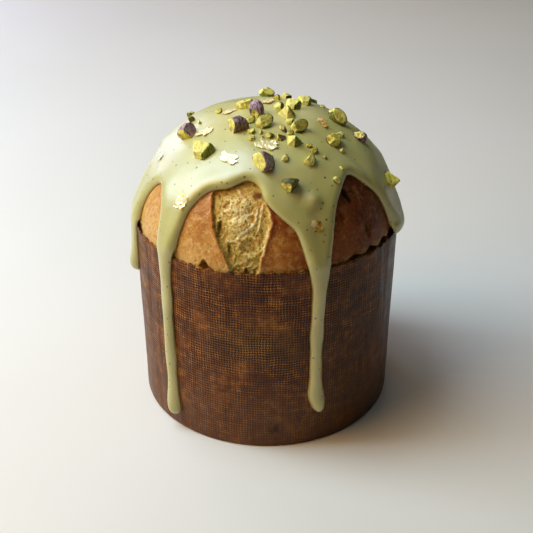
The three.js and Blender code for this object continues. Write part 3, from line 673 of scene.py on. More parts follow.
# Paper case
def build_case(material):
    """A cup of pressed paper with a pinked rim that flutters a little."""
    PER_TOOTH = 8
    FOLD = 1.5
    SHARES = np.concatenate([np.linspace(1, 0.96, 5), np.linspace(0.94, 0.03, 40)])
    columns = PINKS * PER_TOOTH
    azimuth = np.arange(columns) * 360 / columns
    a = np.radians(azimuth)
    wave = Noise(11)
    ring = np.stack([np.sin(a), np.cos(a), np.zeros(columns)], axis=1)
    bite = 0.6 + 0.6 * wave(ring * 14 + 30)
    tooth = 1 - 2 * np.abs(np.sin(a * PINKS / 2)) ** 0.8 * np.clip(bite, 0.15, 1)
    uneven = 0.35 * wave(ring * 20)
    top = CASE_H + PINK_DEPTH * 0.5 * -tooth + 0.5 * np.sin(3 * a + 1) + 0.3 * np.sin(5 * a) + uneven

    def flutter(z):
        points = np.stack([ring[:, 0] * 9, ring[:, 1] * 9, z / 30], axis=1)
        lean = smooth(CASE_H - 16, CASE_H, z) * 0.5 * wave(ring * 7 + 3)
        return 0.35 * wave(points) * smooth(0, 20, z) + lean

    # From the middle of the floor up inside, over the rim, down outside and back to the middle below
    rows = [around(azimuth, share * (CASE_BASE_R - PAPER), PAPER) for share in (0.01, 0.5, 0.9)]
    for shares, thickness in ((SHARES[::-1], PAPER), (SHARES, 0)):
        for z in (top * share for share in shares):
            rows.append(around(azimuth, case_radius(z) - thickness + flutter(z), z))
    for turn in np.linspace(0, math.pi / 2, 5):
        rows.append(around(azimuth, CASE_BASE_R - FOLD * (1 - math.cos(turn)), FOLD * (1 - math.sin(turn))))
    rows += [around(azimuth, CASE_BASE_R * share, 0) for share in (0.5, 0.01)]
    points = np.vstack([*rows, [(0, 0, PAPER)], [(0, 0, 0)]])
    faces = [tuple(f) for f in grid_faces(len(rows), columns)]
    faces += fan(len(points) - 2, 0, columns)
    faces += fan(len(points) - 1, (len(rows) - 1) * columns, columns, True)
    return make_mesh("case_paper", points, faces, material)


# Loaf
def local(azimuth, z, at_azimuth, at_z):
    """Across and up, in millimetres on the crust, from a place."""
    across = np.radians(azimuth - at_azimuth) * dome_radius(at_z)
    return across, distance_at(at_z) - distance_at(z)


def hollow(azimuth, z, at_azimuth, at_z, w, h, depth, lean):
    """A burst bubble: a bowl of some half-width and half-height, with a raised rim where it goes in."""
    x, y = local(azimuth, z, at_azimuth, at_z)
    x = x + lean * y
    d = np.hypot(x / w, y / h)
    bowl = -depth * (1 - smooth(0.45, 1.0, d))
    return bowl + 0.25 * max(depth, 0) * np.exp(-(((d - 1.08) / 0.16) ** 2))


def strand(azimuth, z, points, width, height):
    """A string of gluten along a line of points."""
    path = spline(points, 6)
    reference_z = path[len(path) // 2, 1]
    x, y = local(azimuth, z, 0, reference_z)
    px, py = local(path[:, 0], path[:, 1], 0, reference_z)
    nearest = np.full(x.shape, 1e9)
    for i in range(len(px) - 1):
        ax, ay = px[i], py[i]
        bx, by = px[i + 1] - ax, py[i + 1] - ay
        t = np.clip(((x - ax) * bx + (y - ay) * by) / (bx * bx + by * by + 1e-9), 0, 1)
        nearest = np.minimum(nearest, np.hypot(x - ax - t * bx, y - ay - t * by))
    return height * np.exp(-((nearest / width) ** 2))


def fibres(azimuth, z, at_azimuth, at_z, reach, noise):
    """Strings of crumb that run round a place, from about -1 to 1, fading out beyond a reach."""
    PITCH = 1.6
    x, y = local(azimuth, z, at_azimuth, at_z)
    d = np.hypot(x, y) + 1e-6
    warp = noise(np.stack([x / 2.6, y / 2.6, np.full(x.shape, at_z)], axis=1))
    at = np.stack([(d + 0.9 * warp) / PITCH, 2.4 * x / d + 0.2 * d, 2.4 * y / d + at_azimuth], axis=1)
    return (1 - 2.4 * np.abs(noise(at))) * (1 - smooth(0.55, 1.0, d / reach))


def crescent(azimuth, z, at_azimuth, at_z, w, h, shift_x, shift_y):
    """1 in the part of an oval that the same oval, shifted aside, leaves uncovered."""
    x, y = local(azimuth, z, at_azimuth, at_z)
    oval = np.hypot(x / w, y / h)
    shifted = np.hypot((x - shift_x) / w, (y - shift_y) / h)
    return (1 - smooth(0.85, 1.15, oval)) * smooth(0.85, 1.15, shifted)


# Torn bubbles in the crumb: azimuth, height, half-width, half-height, depth (less than 0 stands out), lean
BUBBLES = [
    (-19.5, 129.9, 2.2, 2.6, 0.8, 0.0),
    (-20.9, 119.9, 1.7, 3.6, 1.7, 0.3),
    (-12.5, 122.3, 6.4, 4.2, -1.2, 0.0),
    (-13.3, 130.0, 6.6, 4.6, -1.1, 0.0),
    (-7.0, 113.4, 5.0, 4.6, 1.2, 0.0),
    (-15.3, 110.9, 1.6, 4.0, 1.0, 0.3),
    (-21.7, 124.3, 0.7, 0.6, 0.6, 0.0),
    (-11.3, 129.6, 0.7, 0.5, 0.4, 0.0),
    (-5.5, 121.4, 0.5, 0.5, 0.6, 0.0),
    (-5.4, 119.1, 0.5, 0.5, 0.6, 0.0),
    (-4.0, 118.8, 0.5, 0.4, 0.6, 0.0),
    (-2.1, 119.7, 0.4, 0.5, 0.5, 0.0),
]

# Strings stretched across the tear: a line of points, then half-width and height
STRINGS = [
    ([(-17.1, 115.8), (-13.3, 115.4), (-11.0, 118.7), (-7.5, 121.1), (-5.4, 124.0), (-4.6, 126.6),
      (-4.5, 130)], 0.7, 0.5),
    ([(-3.8, 120.7), (-2.8, 124.4), (-2.3, 128.6), (-1.4, 131.0)], 0.55, 0.4),
    ([(-2.2, 113.5), (-0.7, 116.7), (0.5, 120.5), (1.2, 123.6)], 0.5, 0.35),
    ([(-20.0, 127.5), (-17.7, 126.4), (-14.4, 125.2), (-10.3, 126.3), (-6.8, 127.5)], 0.7, 0.35),
    ([(-8.6, 109.8), (-7.3, 109.1), (-5.4, 108.8), (-3.9, 110.1), (-2.0, 112.2), (-1.2, 113.9)], 0.6, 0.55),
    ([(-18.6, 133.0), (-21.6, 132.4), (-23.2, 129.6), (-21.8, 126.8), (-20.0, 126.0)], 0.45, 0.4),
    ([(-18.8, 131.9), (-20.6, 131.4), (-21.4, 129.6), (-20.6, 127.9)], 0.35, 0.3),
    ([(-16.0, 137.0), (-13.8, 135.1), (-11.4, 133.4), (-9.0, 131.4)], 0.7, 0.45),
    ([(-13.6, 104.5), (-10.7, 106.1), (-8.5, 107.2)], 0.5, 0.3),
    ([(-9.6, 102.6), (-7.0, 105.2), (-5.4, 106.6)], 0.45, 0.3),
    ([(-5.4, 103.2), (-3.6, 106.2)], 0.45, 0.3),
]

# Painted shade, dark crescents in the hollows: azimuth, height, half-width, half-height, shift across and
# up of
# the oval that covers the rest
SHADED_CRESCENTS = [
    (-20.9, 119.9, 1.8, 3.7, 1.1, 0.3),
    (-15.4, 110.9, 1.5, 3.9, 0.9, 0.2),
    (-19.9, 129.8, 2.2, 2.8, 0.5, 0.0),
    (-19.6, 129.8, 3.9, 3.8, 0.5, 0.1),
    (-6.4, 112.6, 4.4, 4.0, -0.7, 0.7),
    (-21.7, 124.3, 0.8, 0.6, 0.5, -0.2),
    (-11.3, 129.6, 0.8, 0.5, 0.0, 0.5),
    (-5.5, 121.4, 0.5, 0.5, 0.3, 0.3),
    (-5.4, 119.1, 0.6, 0.5, 0.3, 0.3),
    (-4.0, 118.8, 0.6, 0.5, 0.3, 0.3),
    (-2.1, 119.7, 0.5, 0.5, 0.3, 0.3),
]

# Middles that the strings of crumb curl round: azimuth, height, reach
CURLS = [
    (-19.5, 129.9, 4.5),
    (-13.0, 130.0, 8.0),
    (-12.5, 122.3, 8.5),
    (-7.0, 113.4, 7.0),
    (-8.0, 97.0, 12.0),
]

# Splits in the crust at the right: azimuth, height, half-width, half-height, depth, lean, 1 if painted dark
# inside as shade
SPLITS = [
    (43.0, 129.5, 2.8, 7.5, 2.2, 0.22, 1),
    (49.5, 112.5, 2.0, 5.4, 3.2, -0.12, 1),
    (36.5, 122.0, 1.8, 5.0, 1.6, 0.0, 0),
]

# Pointed nicks where the crust has shrunk back from the paper: azimuth, half-width, height, depth
NICKS = [
    (-26.0, 3.4, 4.6, 4.5),
    (-72.3, 2.2, 3.5, 3.0),
    (-8, 1.8, 2.2, 1.0),
    (40, 6, 2.6, 2.4),
    (50, 5, 3.4, 3.0),
    (60, 6, 3.0, 3.0),
    (68, 5, 3.8, 3.0),
]
# Height that the nicks rise from
NICK_FOOT = 101


def loaf_lift(azimuth, z):
    """Height of the crust or crumb over the even form, with its crumb and lip marks, and the crumb's tone
    with painted shade.
    """
    noise = Noise(23)
    heights, lefts, rights = np.array(TEAR).T
    left = np.interp(z, heights, lefts)
    right = np.interp(z, heights, rights)
    r = dome_radius(np.maximum(z, DOME_Z))
    place = around(azimuth, r, z)
    ragged = 0.45 * noise(place / 3.5) + 0.2 * noise(place / 1.2 + 9)
    inside = np.radians(np.minimum(azimuth - left, right - azimuth)) * r + ragged
    shows = smooth(98, 101, z)
    crumb = smooth(-0.1, 0.3, inside) * shows

    # Crumb, with its features pulled a little out of shape
    pulled = (azimuth + 0.45 * noise(place / 1.4 + 53), z + 0.45 * noise(place / 1.4 + 61))
    coarse = sum(hollow(*pulled, *row) for row in BUBBLES)
    strings = np.max([strand(*pulled, *row) for row in STRINGS], axis=0)
    curls = sum(fibres(azimuth, z, *row, noise) for row in CURLS)
    curls = np.clip(curls, -1.2, 1.2)
    warp = np.stack([noise(place / 3 + shift) for shift in (3, 11, 19)], axis=1)
    loose = 1 - 2.4 * np.abs(noise((place + 1.8 * warp) / (1.9, 1.9, 2.4)))
    grain = noise(place / 0.7)
    # Pores, most of them low down at the right
    pores = smooth(0.4, 0.7, noise(place / 1.3 + 31)) * smooth(-8, -5, azimuth) * (1 - smooth(126, 130, z))
    pores = np.maximum(pores, smooth(0.6, 0.85, noise(place / 1.2 + 47)))
    fine = strings + 0.2 * curls + 0.17 * loose + 0.05 * grain - 0.4 * pores
    deep = -TEAR_DEPTH * smooth(-0.1, 1.1, inside)

    # Crust, proud beside the tear
    proud = np.exp(-((np.minimum(inside, 0) / 2.2) ** 2)) * (inside < 0.3)
    skin = 0.22 * noise(place / 9) + 0.12 * noise(place / 3) + 0.07 * noise(place / 1.3)
    skin += 0.5 * proud * shows - 0.3 * smooth(0.5, 0.8, noise(place / 2.0 + 5))

    # Splits and nicks
    cut = np.zeros(len(z))
    split_shade = np.zeros(len(z))
    for at, height, w, h, depth, lean, shaded_inside in SPLITS:
        x, y = local(azimuth, z, at, height)
        x = x + lean * y + 0.7 * noise(place / 3 + at)
        opened = 1 - smooth(0.35, 1.0, np.hypot(x / w, y / h))
        cut -= depth * opened
        split_shade = np.maximum(split_shade, opened * shaded_inside)
    for at, width, height, depth in NICKS:
        x, y = local(azimuth, z, at, NICK_FOOT)
        x = x + 0.25 * y + 0.5 * noise(place / 2 + at)
        cut -= depth * (1 - smooth(0.6, 1.0, np.abs(x) / width + np.maximum(y, 0) / height))
    crumb = np.maximum(crumb, 0.85 * smooth(0.5, 0.9, split_shade))
    lift = np.where(inside > 0, deep + (coarse + fine) * smooth(0, 0.9, inside), skin + deep) + cut

    # Tone of the crumb with painted shade: pale on the strings, darker in pores and bowls, and darkest as
    # painted shade in the crescents, the gashes and the crease inside the left lip
    relief = 0.46 + 0.8 * strings + 0.26 * curls + 0.22 * loose + 0.08 * grain - 0.22 * pores
    relief += 0.06 * np.clip(coarse, -2, 1)
    # Painted shade in the crescents
    relief -= 0.6 * sum(crescent(*pulled, *row) for row in SHADED_CRESCENTS)
    left_side = azimuth < -14
    # Painted shadow of the proud left lip, in the crease inside it
    relief -= 0.42 * np.exp(-(((inside - 0.4) / 0.34) ** 2)) * left_side * smooth(108, 120, z)
    # Painted shade inside the splits that are dark inside
    relief = np.clip(relief, 0.13, 1) * (1 - split_shade) - 0.3 * split_shade
    band = np.where(left_side, (inside + 0.5) / 0.5, (inside + 1.3) / 0.9)
    lip = np.exp(-(band**2)) * shows
    return lift, crumb, relief, lip


def build_loaf(material):
    # Columns and rows lie closer together over the tear and the splits
    SPANS = [(-31, 4, 0.24), (4, 28, 1.6), (28, 68, 0.7), (68, 329, 1.9)]
    ROWS = [(141.5, 136, 0.16), (136, 128, 0.2), (128, 98, 0.26)]
    HIDDEN_ROWS = [97, 94, 88, 60, 30, 6]
    HEEL_R = 62
    MOST_PROUD = 0.9
    # How far the loaf may press into its gap to the paper
    PRESS = 0.2
    azimuth = [np.linspace(a, b, round((b - a) / step), endpoint=False) for a, b, step in SPANS]
    azimuth = np.concatenate(azimuth)
    crown = np.interp(np.arange(0.5, distance_at(142), 4), LINE_S, LINE_Z)
    shown = [np.arange(high, low, -step) for high, low, step in ROWS]
    heights = np.concatenate([crown, *shown, HIDDEN_ROWS])
    columns = len(azimuth)
    z, azimuths = (m.ravel() for m in np.meshgrid(heights, azimuth, indexing="ij"))
    lift, crumb, relief, lip = loaf_lift(np.where(azimuths > 180, azimuths - 360, azimuths), z)
    shows = smooth(97, 99, z) * (1 - smooth(141, 143, z))
    s = distance_at(z)
    up = swell(azimuths, z) + np.minimum(lift * shows, MOST_PROUD)
    inner = case_radius(z) - PAPER - GAP
    r = np.minimum(dome_radius(z), inner)
    r = r + np.interp(s, LINE_S, LINE_NR) * up
    r = np.where(z < RIM_OVER, np.minimum(r, inner + PRESS), r)
    bottom = PAPER + GAP
    rings = around(azimuths, r, z + np.interp(s, LINE_S, LINE_NZ) * up)
    heel = around(azimuth, HEEL_R, bottom)
    points = np.vstack([rings, heel, [(0, 0, DOME_Z + DOME_H)], [(0, 0, bottom)]])
    faces = [tuple(f) for f in grid_faces(len(heights) + 1, columns)]
    faces += fan(len(points) - 2, 0, columns)
    faces += fan(len(points) - 1, len(heights) * columns, columns, True)
    unseen = np.zeros(columns + 2)
    marks = {"crumb": crumb * shows, "relief": relief, "lip": lip * shows}
    marks = {key: np.concatenate([value, unseen]) for key, value in marks.items()}
    return make_mesh("loaf_crust", points, faces, material, marks)


# Glaze
def feet(index):
    """Azimuths of the arches' feet to the left and right of a run."""
    left = ARCHES[index - 1][-1][0] - (0 if index else 360)
    return left, ARCHES[index][0][0]


def drip_half(index, s):
    """Half the width of a run, flared where it leaves the coat and fuller near its tip."""
    azimuth, half, tip = DRIPS[index][:3]
    start = distance_at(CAP_FOOT)
    end = distance_at(tip)
    left, right = feet(index)
    between = math.radians(right - left) / 2 * CASE_TOP_R
    flare = (between - half) * np.minimum(1, np.exp(-(s - start) / 10))
    bulb = half * 0.24 * np.exp(-(((end - s - 9) / 6.5) ** 2))
    uneven = 0.06 * np.sin(s / 5.3 + azimuth) + 0.045 * np.sin(s / 2.7 - azimuth)
    to_tip = np.clip((end - s) / (half * 1.3), 0, 1)
    return (half * (0.88 + uneven) + flare + bulb) * np.sqrt(np.maximum(1 - (1 - to_tip) ** 2, 0))


def drip_centre(index, s):
    """Azimuth of a run's middle, which wanders a little and hooks aside at the tip."""
    azimuth, _, tip, _, hook = DRIPS[index]
    start = distance_at(CAP_FOOT)
    end = distance_at(tip)
    middle = sum(feet(index)) / 2
    wander = np.degrees(0.5 * np.sin(s / 17 + azimuth) + hook * smooth(end - 14, end, s)) / CASE_TOP_R
    return middle + (azimuth + wander - middle) * smooth(0, 12, s - start)


def glaze_outline():
    """The coat's whole edge as azimuths and distances down, arch by arch and run by run."""
    STEP = 0.7
    line = []
    for index, arch in enumerate(ARCHES):
        line += [(azimuth, distance_at(z)) for azimuth, z in spline(arch, 12)]
        following = (index + 1) % len(ARCHES)
        turn = 0 if following else 360
        start = distance_at(CAP_FOOT)
        end = distance_at(DRIPS[following][2])
        share = np.linspace(0, 1, 90)[1:]
        down = start + (end - start) * (1 - (1 - share) ** 1.6)
        half = np.degrees(drip_half(following, down) / CASE_TOP_R)
        middle = drip_centre(following, down) + turn
        line += list(zip(middle - half, down))
        line += list(zip((middle + half)[::-1][1:], down[::-1][1:]))
    return even_out(np.array(line), STEP)


def beside(line):
    """The points before and after each point of a closed line round the loaf."""
    before = np.roll(line, 1, axis=0)
    after = np.roll(line, -1, axis=0)
    before[0, 0] -= 360
    after[-1, 0] += 360
    return before, after


def even_out(line, step):
    """The closed line again with even steps, softened a little."""
    for _ in range(2):
        azimuth = np.append(line[:, 0], line[0, 0] + 360)
        down = np.append(line[:, 1], line[0, 1])
        r = radius_at((down[1:] + down[:-1]) / 2)
        length = np.hypot(np.radians(np.diff(azimuth)) * r, np.diff(down))
        along = np.concatenate([[0], np.cumsum(length)])
        count = round(along[-1] / step)
        at = np.arange(count) * along[-1] / count
        line = np.stack([np.interp(at, along, azimuth), np.interp(at, along, down)], axis=1)
        for _ in range(3):
            before, after = beside(line)
            line = 0.5 * line + 0.25 * (before + after)
    return line


MAP_LOG = np.log(LINE_S[1]) + np.concatenate(
    [[0], np.cumsum(np.diff(LINE_S[1:]) * 2 / (LINE_R[1:-1] + LINE_R[2:]))]
)


def flat_map(azimuth, s):
    """A flat map of the form round the crown that keeps angles, so that triangles stay well shaped."""
    return around(azimuth, np.exp(np.interp(s, LINE_S[1:], MAP_LOG)), 0)[:, :2]


# Lumps under the coat: azimuth, down, radius, height
LUMPS = [
    (22.5, 61.5, 3.4, 1.9),
    (-62, 10, 5, 0.9),
    (70, 58, 9, 1.0),
    (-30, 55, 12, 0.5),
    (130, 40, 12, 0.6),
    (215, 60, 8, 0.8),
]
# A furrow in the coat at the right: azimuth and down along it
FURROW = [(56, 38), (59, 46), (61, 56), (59.5, 67)]
FURROW_DEPTH = 0.8
# How far in from the coat's edge its rounded lip ends
LIP = 3.0


def apart(azimuth, s, at, down):
    """Across and down from a place on the form."""
    return np.radians(off(azimuth, at)) * radius_at(down), s - down


def glaze_thickness(azimuth, s, distance, points):
    """How thick the glaze is, from how far a point is from the edge, and how far its lip has risen."""
    DRIP_REACH = 14
    THINNEST = 0.8
    noise = Noise(5)
    foot = distance_at(CAP_FOOT)
    run = smooth(foot - 14, foot + 6, s)
    full = np.full(len(s), GLAZE)
    half = np.full(len(s), LIP)
    for index, (at, width, tip, thick, _) in enumerate(DRIPS):
        near = np.abs(off(azimuth, at)) < DRIP_REACH
        end = distance_at(tip)
        bulb = 0.5 * np.exp(-(((end - s - 5) / 7) ** 2))
        ease = 0.12 * np.sin(s / 9 + at)
        full = np.where(near, GLAZE + (thick * (0.92 + bulb + ease) - GLAZE) * run, full)
        width_here = np.maximum(drip_half(index, np.minimum(s, end - width)), width * 0.9)
        half = np.where(near, LIP + (width_here - LIP) * run, half)
    pooled = 0.45 * np.exp(-(((distance - 4) / 4) ** 2)) * (1 - run)
    wavy = 0.3 * noise(points / 22) + 0.12 * noise(points / 9)
    for at, down, reach, height in LUMPS:
        x, y = apart(azimuth, s, at, down)
        wavy += height * np.exp(-((x / reach) ** 2 + (y / reach) ** 2))
    gap = np.min([np.hypot(*apart(azimuth, s, at, down)) for at, down in spline(FURROW, 5)], axis=0)
    wavy -= FURROW_DEPTH * np.exp(-((gap / 2.2) ** 2))
    inward = np.clip(distance / half, 0, 1)
    lip = np.sqrt(1 - (1 - inward) ** 2)
    return np.maximum(full + pooled + wavy, THINNEST) * lip, lip


def inside_only(faces, flat, rim, outline):
    """The triangles within the outline. Only those with all their corners on it can lie outside."""
    doubtful = rim[faces].all(axis=1)
    middle = flat[faces[doubtful]].mean(axis=1)
    ax, ay = outline[:, 0], outline[:, 1]
    bx, by = np.roll(ax, -1), np.roll(ay, -1)
    x, y = middle[:, :1], middle[:, 1:]
    spans = (ay > y) != (by > y)
    rise = np.where(by == ay, 1e-9, by - ay)
    crossings = spans & (x < ax + (y - ay) / rise * (bx - ax))
    keep = np.ones(len(faces), bool)
    keep[doubtful] = crossings.sum(axis=1) % 2 == 1
    return faces[keep]


def build_glaze(material):
    """The coat: a sheet of even triangles over the form inside its edge, and its underside."""
    DEPTHS = (0.12, 0.35, 0.7, 1.15, 1.7)
    STEP = 1.15
    ROW_STEP = STEP * 0.87
    RING_START = -73
    CLEAR = 2.1
    UNDER = 0.12
    edge = glaze_outline()
    before, after = beside(edge)
    r = radius_at(edge[:, 1])
    along_u = np.radians(after[:, 0] - before[:, 0]) * r
    along_s = after[:, 1] - before[:, 1]
    length = np.hypot(along_u, along_s)
    inward = np.stack([along_s / length, -along_u / length], axis=1)

    tree = KDTree(len(edge))
    for i, point in enumerate(on_form(*edge.T, 0)):
        tree.insert(point, i)
    tree.balance()

    def measure(places):
        """How far places are from the edge, and how far inside it."""
        found = [tree.find(p) for p in on_form(*places.T, 0)]
        nearest = np.array([f[1] for f in found])
        distance = np.array([f[2] for f in found])
        du = np.radians(off(places[:, 0], edge[nearest, 0])) * radius_at(places[:, 1])
        ds = places[:, 1] - edge[nearest, 1]
        return distance, du * inward[nearest, 0] + ds * inward[nearest, 1]

    # Points along the edge and on lines just inside it, then in rings all over the rest
    places = [edge]
    for depth in DEPTHS:
        u = edge[:, 0] + np.degrees(inward[:, 0] * depth / r)
        ring = np.stack([u, edge[:, 1] + inward[:, 1] * depth], axis=1)
        distance, side = measure(ring)
        places.append(ring[(side > 0) & (distance > depth * 0.8)])
    inner = [[(0, 0.05)]]
    for row, s in enumerate(np.arange(STEP, edge[:, 1].max(), ROW_STEP)):
        count = max(6, round(2 * math.pi * radius_at(s) / STEP))
        turn = (np.arange(count) + 0.5 * (row % 2)) * 360 / count + RING_START
        inner.append(np.stack([turn, np.full(count, s)], axis=1))
    inner = np.vstack(inner)
    distance, side = measure(inner)
    places = np.vstack([*places, inner[(side > 0) & (distance > CLEAR)]])

    flat = [Vector(p) for p in flat_map(*places.T)]
    _, _, faces, origins, _, _ = delaunay_2d_cdt(flat, [], [list(range(len(edge)))], 1, 1e-5, True)
    kept = np.array([ids[0] for ids in origins])
    places = places[kept]
    rim = kept < len(edge)
    faces = inside_only(np.array(faces), flat_map(*places.T), rim, flat_map(*edge.T))
    distance, _ = measure(places)
    distance[rim] = 0
    lift, lip = glaze_thickness(*places.T, distance, on_form(*places.T, 0))
    top = on_form(*places.T, GAP + lift, lip)
    under = on_form(*places.T, UNDER)
    top[rim] = under[rim]

    # The underside shares the edge with the face
    below = np.where(rim, np.arange(len(places)), len(places) + np.cumsum(~rim) - 1)
    points = np.vstack([top, under[~rim]])
    upper = [tuple(f) for f in faces]
    a, b, c = (Vector(points[i]) for i in upper[len(upper) // 2])
    if (b - a).cross(c - a).dot(a - Vector((0, 0, DOME_Z))) < 0:
        upper = [f[::-1] for f in upper]
    lower = [tuple(below[i] for i in f[::-1]) for f in upper]
    return make_mesh("pistachio_glaze", points, upper + lower, material)


# Nuts
def ball(detail):
    """Points on a unit ball and its triangles."""
    form = bmesh.new()
    bmesh.ops.create_icosphere(form, subdivisions=detail, radius=1)
    points = np.array([v.co[:] for v in form.verts])
    faces = np.array([[v.index for v in f.verts] for f in form.faces])
    form.free()
    return points / np.linalg.norm(points, axis=1, keepdims=True), faces


def standing(azimuth, down, lift):
    """The place on the coat's face: +Z along its normal and +Y up the dome."""
    at = on_form(azimuth, down, lift)
    normal = Vector(around(azimuth, np.interp(down, LINE_S, LINE_NR), np.interp(down, LINE_S, LINE_NZ)))
    across = Vector(around(azimuth + 90, 1, 0))
    uphill = normal.cross(across)
    return Matrix.Translation(at) @ Matrix((across, uphill, normal)).transposed().to_4x4()


def turned(yaw, tilt):
    return Matrix.Rotation(math.radians(yaw), 4, "Z") @ Matrix.Rotation(math.radians(tilt), 4, "Y")


def move(points, matrix):
    m = np.array(matrix)
    return points @ m[:3, :3].T + m[:3, 3]


def kernel_cuts(shape, seed):
    """The planes that break a kernel: direction, and offset as a share of half its length."""
    draw = draws(seed)
    cuts = []
    for *normal, share in SHAPES[shape][1]:
        direction = np.array([part + 0.3 * next(draw) - 0.15 for part in normal])
        cuts.append((direction / np.linalg.norm(direction), share * (0.9 + 0.2 * next(draw))))
    return cuts


def nut_points(directions, shape, length, seed, noise):
    """A broken kernel about its own middle, with its skin mark."""
    SHARPNESS = 60.0
    FAR = 1e3
    half = length / 2
    sizes, planes = SHAPES[shape]
    reach = [1 / np.linalg.norm(directions / (np.array(sizes) * half), axis=1)]
    for direction, share in kernel_cuts(shape, seed):
        facing = directions @ direction
        reach.append(np.where(facing > 0.02, half * share / np.maximum(facing, 0.02), FAR))
    # A chip bitten out of one side, hollow rather than flat
    draw = draws(seed + 7)
    bite = np.array([next(draw) - 0.5, next(draw) - 0.5, 0.2 + 0.5 * next(draw)])
    bite *= half * 1.5 / np.linalg.norm(bite)
    bite_r = half * (0.8 + 0.2 * next(draw))
    along = directions @ bite
    inside = along**2 - (bite @ bite - bite_r**2)
    reach.append(np.where((inside > 0) & (along > 0), along - np.sqrt(np.maximum(inside, 0)), FAR))
    share = np.array(reach) ** -SHARPNESS
    r = np.sum(share, axis=0) ** (-1 / SHARPNESS)
    # The round side keeps its skin, and so does the broken side that faces most to the right
    share /= share.sum(axis=0)
    rightmost = max(range(len(planes)), key=lambda k: planes[k][0])
    skin = share[0] + share[rightmost + 1]
    points = directions * r[:, None]
    chipped = np.abs(noise(points / (0.26 * length) + seed)) * 0.07 * length
    rough = 0.09 * noise(points / 0.9 + seed) - chipped
    wrinkle = 0.13 * (1 - 2 * np.abs(noise(points * (0.3, 0.9, 0.9) + seed)))
    return directions * (r + rough * (1 - skin) + wrinkle * skin)[:, None], skin


def nut_marks(skin, tone, pale):
    return {"skin": skin, "tone": np.full(len(skin), tone), "pale": np.full(len(skin), pale)}


def build_chunks(material):
    FIRST_SEED = 101
    NEXT_SEED = 37
    directions, faces = ball(4)
    noise = Noise(77)
    pieces = []
    for i, (shape, azimuth, down, length, yaw, tilt, tone, pale) in enumerate(CHUNKS):
        points, skin = nut_points(directions, shape, length, FIRST_SEED + NEXT_SEED * i, noise)
        points = move(points, turned(yaw - azimuth, tilt))
        # The part that would sink through the coat is flat
        points[:, 2] = np.maximum(points[:, 2], -length * RISE - 0.5)
        stand = standing(azimuth, down, GAP + GLAZE) @ Matrix.Translation((0, 0, length * RISE))
        marks = nut_marks(skin, tone, pale)
        pieces.append(make_mesh(f"pistachio_{i + 1:02d}", move(points, stand), faces, material, marks))
    return pieces


def build_bits(material):
    FIRST_SEED = 900
    directions, faces = ball(3)
    noise = Noise(78)
    points, all_faces, marks = [], [], []
    for i, (shape, azimuth, down, length, yaw, tone, pale) in enumerate(BITS):
        form, skin = nut_points(directions, shape, length, FIRST_SEED + i, noise)
        form = move(form, turned(yaw - azimuth, 20 * (i % 3) - 20))
        points.append(move(form, standing(azimuth, down, GAP + GLAZE + length * RISE)))
        all_faces.append(faces + len(directions) * i)
        marks.append(nut_marks(skin, tone, pale))
    marks = {key: np.concatenate([mark[key] for mark in marks]) for key in marks[0]}
    return make_mesh("nut_bits", np.vstack(points), np.vstack(all_faces), material, marks)


# Foil
def build_flakes(material):
    """Crumpled scraps of gold leaf with torn edges, each a thin closed shell."""
    RINGS = 16
    SIDES = 48
    THICK = 0.05
    COUNT = RINGS * SIDES
    noise = Noise(91)
    sheet = grid_faces(RINGS, SIDES)
    a = np.arange(SIDES) * 2 * math.pi / SIDES
    share = np.linspace(0.02, 1, RINGS)[:, None]
    points, faces = [], []
    for i, (azimuth, down, length, width, yaw) in enumerate(FLAKES):
        circle = np.stack([np.cos(a), np.sin(a), np.full(SIDES, i * 3.7)], axis=1)
        outline = 0.45 + 0.26 * noise(circle * 1.2) + 0.16 * noise(circle * 2.6) + 0.07 * noise(circle * 7)
        x = (share * outline * length * np.cos(a)).ravel()
        y = (share * outline * width * np.sin(a)).ravel()
        flat = np.stack([x, y, np.full(x.shape, i * 5.1)], axis=1)
        crease = 1 - 2.2 * np.abs(noise(flat / 4.2))
        fine = 1 - 2.2 * np.abs(noise(flat / 1.9 + 9))
        leaf = np.stack([x, y, np.maximum(0.42 + 0.3 * crease + 0.12 * fine, 0.06)], axis=1)
        place = standing(azimuth, down, GAP + GLAZE) @ turned(yaw - azimuth, 0)
        points += [move(leaf, place), move(leaf - (0, 0, THICK), place)]

        # Face, underside, the wall between them, and the small holes in the middle
        upper = 2 * COUNT * i
        lower = upper + COUNT
        faces += [tuple(f + upper) for f in sheet]
        faces += [tuple(f[::-1] + lower) for f in sheet]
        for k in range(COUNT - SIDES, COUNT):
            j = k + 1 if k + 1 < COUNT else COUNT - SIDES
            faces.append((upper + k, lower + k, lower + j, upper + j))
        faces.append(tuple(range(upper, upper + SIDES)))
        faces.append(tuple(range(lower, lower + SIDES))[::-1])
    return make_mesh("gold_leaf", np.vstack(points), faces, material)


# Camera, lamps and floor
def aimed(data, azimuth, elevation, distance, target_z):
    """A camera or a lamp, placed in metres round a height on the loaf's middle line and turned to it."""
    item = bpy.data.objects.new(data.name, data)
    e = math.radians(elevation)
    way = Vector(around(azimuth, math.cos(e), math.sin(e)))
    item.location = Vector((0, 0, target_z)) + way * distance
    item.rotation_mode = "QUATERNION"
    item.rotation_quaternion = way.to_track_quat("Z", "Y")
    bpy.context.collection.objects.link(item)
    return item


def build_camera():
    SENSOR_WIDTH = 36
    FOCAL_LENGTH = 71.27
    NEAREST = 0.01
    ELEVATION = 29.8
    DISTANCE = 0.560
    TARGET_Z = 0.0677
    data = bpy.data.cameras.new("camera")
    data.sensor_width = SENSOR_WIDTH
    data.lens = FOCAL_LENGTH
    data.clip_start = NEAREST
    bpy.context.scene.camera = aimed(data, 0, ELEVATION, DISTANCE, TARGET_Z)


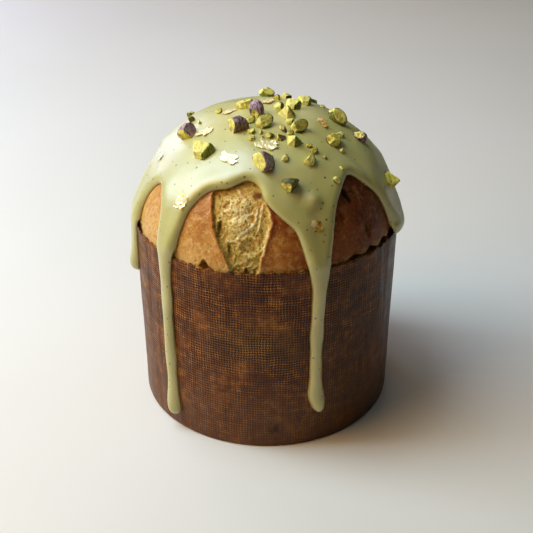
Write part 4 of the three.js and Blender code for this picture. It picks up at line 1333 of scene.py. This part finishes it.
# Soft boxes: name, azimuth, elevation, distance, width and height in metres, power in watts, colour
LAMPS = [
    ("window", -95, 50, 0.9, 0.43, 1.05, 12.0, (0.66, 0.84, 1.0)),
    ("overhead", -20, 78, 1.0, 0.8, 0.8, 1.1, (0.92, 0.98, 1.0)),
    ("fill", -62, 38, 0.95, 0.5, 0.6, 3.7, (1.0, 0.6, 0.2)),
    ("backdrop", -142, 16, 1.0, 0.5, 0.5, 2.8, (0.62, 0.68, 1.0)),
    ("back", -172, 32, 1.1, 1.0, 0.6, 1.8, (1.0, 0.82, 0.66)),
    ("rim", 126, 20, 1.0, 0.1, 0.8, 0.15, (0.9, 0.95, 1.0)),
]


def soft_box(name, azimuth, elevation, distance, width, height, power, colour):
    LOAF_MIDDLE = 0.08
    data = bpy.data.lights.new(name, "AREA")
    data.shape = "RECTANGLE"
    data.size = width
    data.size_y = height
    data.energy = power
    data.color = colour
    aimed(data, azimuth, elevation, distance, LOAF_MIDDLE)


def build_studio():
    FLOOR_HALF = 1200
    SKY_LIGHT = 0.01
    SKY_SEEN = 0.6
    for lamp in LAMPS:
        soft_box(*lamp)
    s = Shader("studio_floor")
    s.set(Base_Color=s.ramp(s.noise(300, 2), (0.3, "dfd8cb"), (0.7, "e4ddd1")), Roughness=0.7)
    corners = around(np.array([315, 45, 135, 225]), FLOOR_HALF * math.sqrt(2), 0)
    floor = make_mesh("floor", corners, [(0, 1, 2, 3)], s.material)

    world = bpy.data.worlds.new("studio")
    world.use_nodes = True
    bpy.context.scene.world = world
    tree = world.node_tree
    sky = tree.nodes["Background"]
    sky.inputs["Color"].default_value = (1.0, 0.97, 0.93, 1)
    # Pale behind the floor in low views, and almost no light from it on the loaf
    strength = tree.nodes.new("ShaderNodeMapRange")
    strength.inputs["To Min"].default_value = SKY_LIGHT
    strength.inputs["To Max"].default_value = SKY_SEEN
    tree.links.new(tree.nodes.new("ShaderNodeLightPath").outputs["Is Camera Ray"], strength.inputs["Value"])
    tree.links.new(strength.outputs["Result"], sky.inputs["Strength"])
    bpy.context.scene.view_settings.view_transform = "Standard"


build_camera()
build_studio()

case = build_case(paper_material())
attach(case, "root")
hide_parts("paper_case")

loaf = build_loaf(loaf_material())
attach(loaf, "root")
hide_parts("loaf")

glaze = build_glaze(glaze_material())
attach(glaze, "root")
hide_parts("glaze")

nut = nut_material()
for number, chunk in enumerate(build_chunks(nut), start=1):
    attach(chunk, "root")
    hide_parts(f"nut_{number:02d}")

bits = build_bits(nut)
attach(bits, "root")
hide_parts("glaze")

flakes = build_flakes(foil_material())
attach(flakes, "root")
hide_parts("glaze")
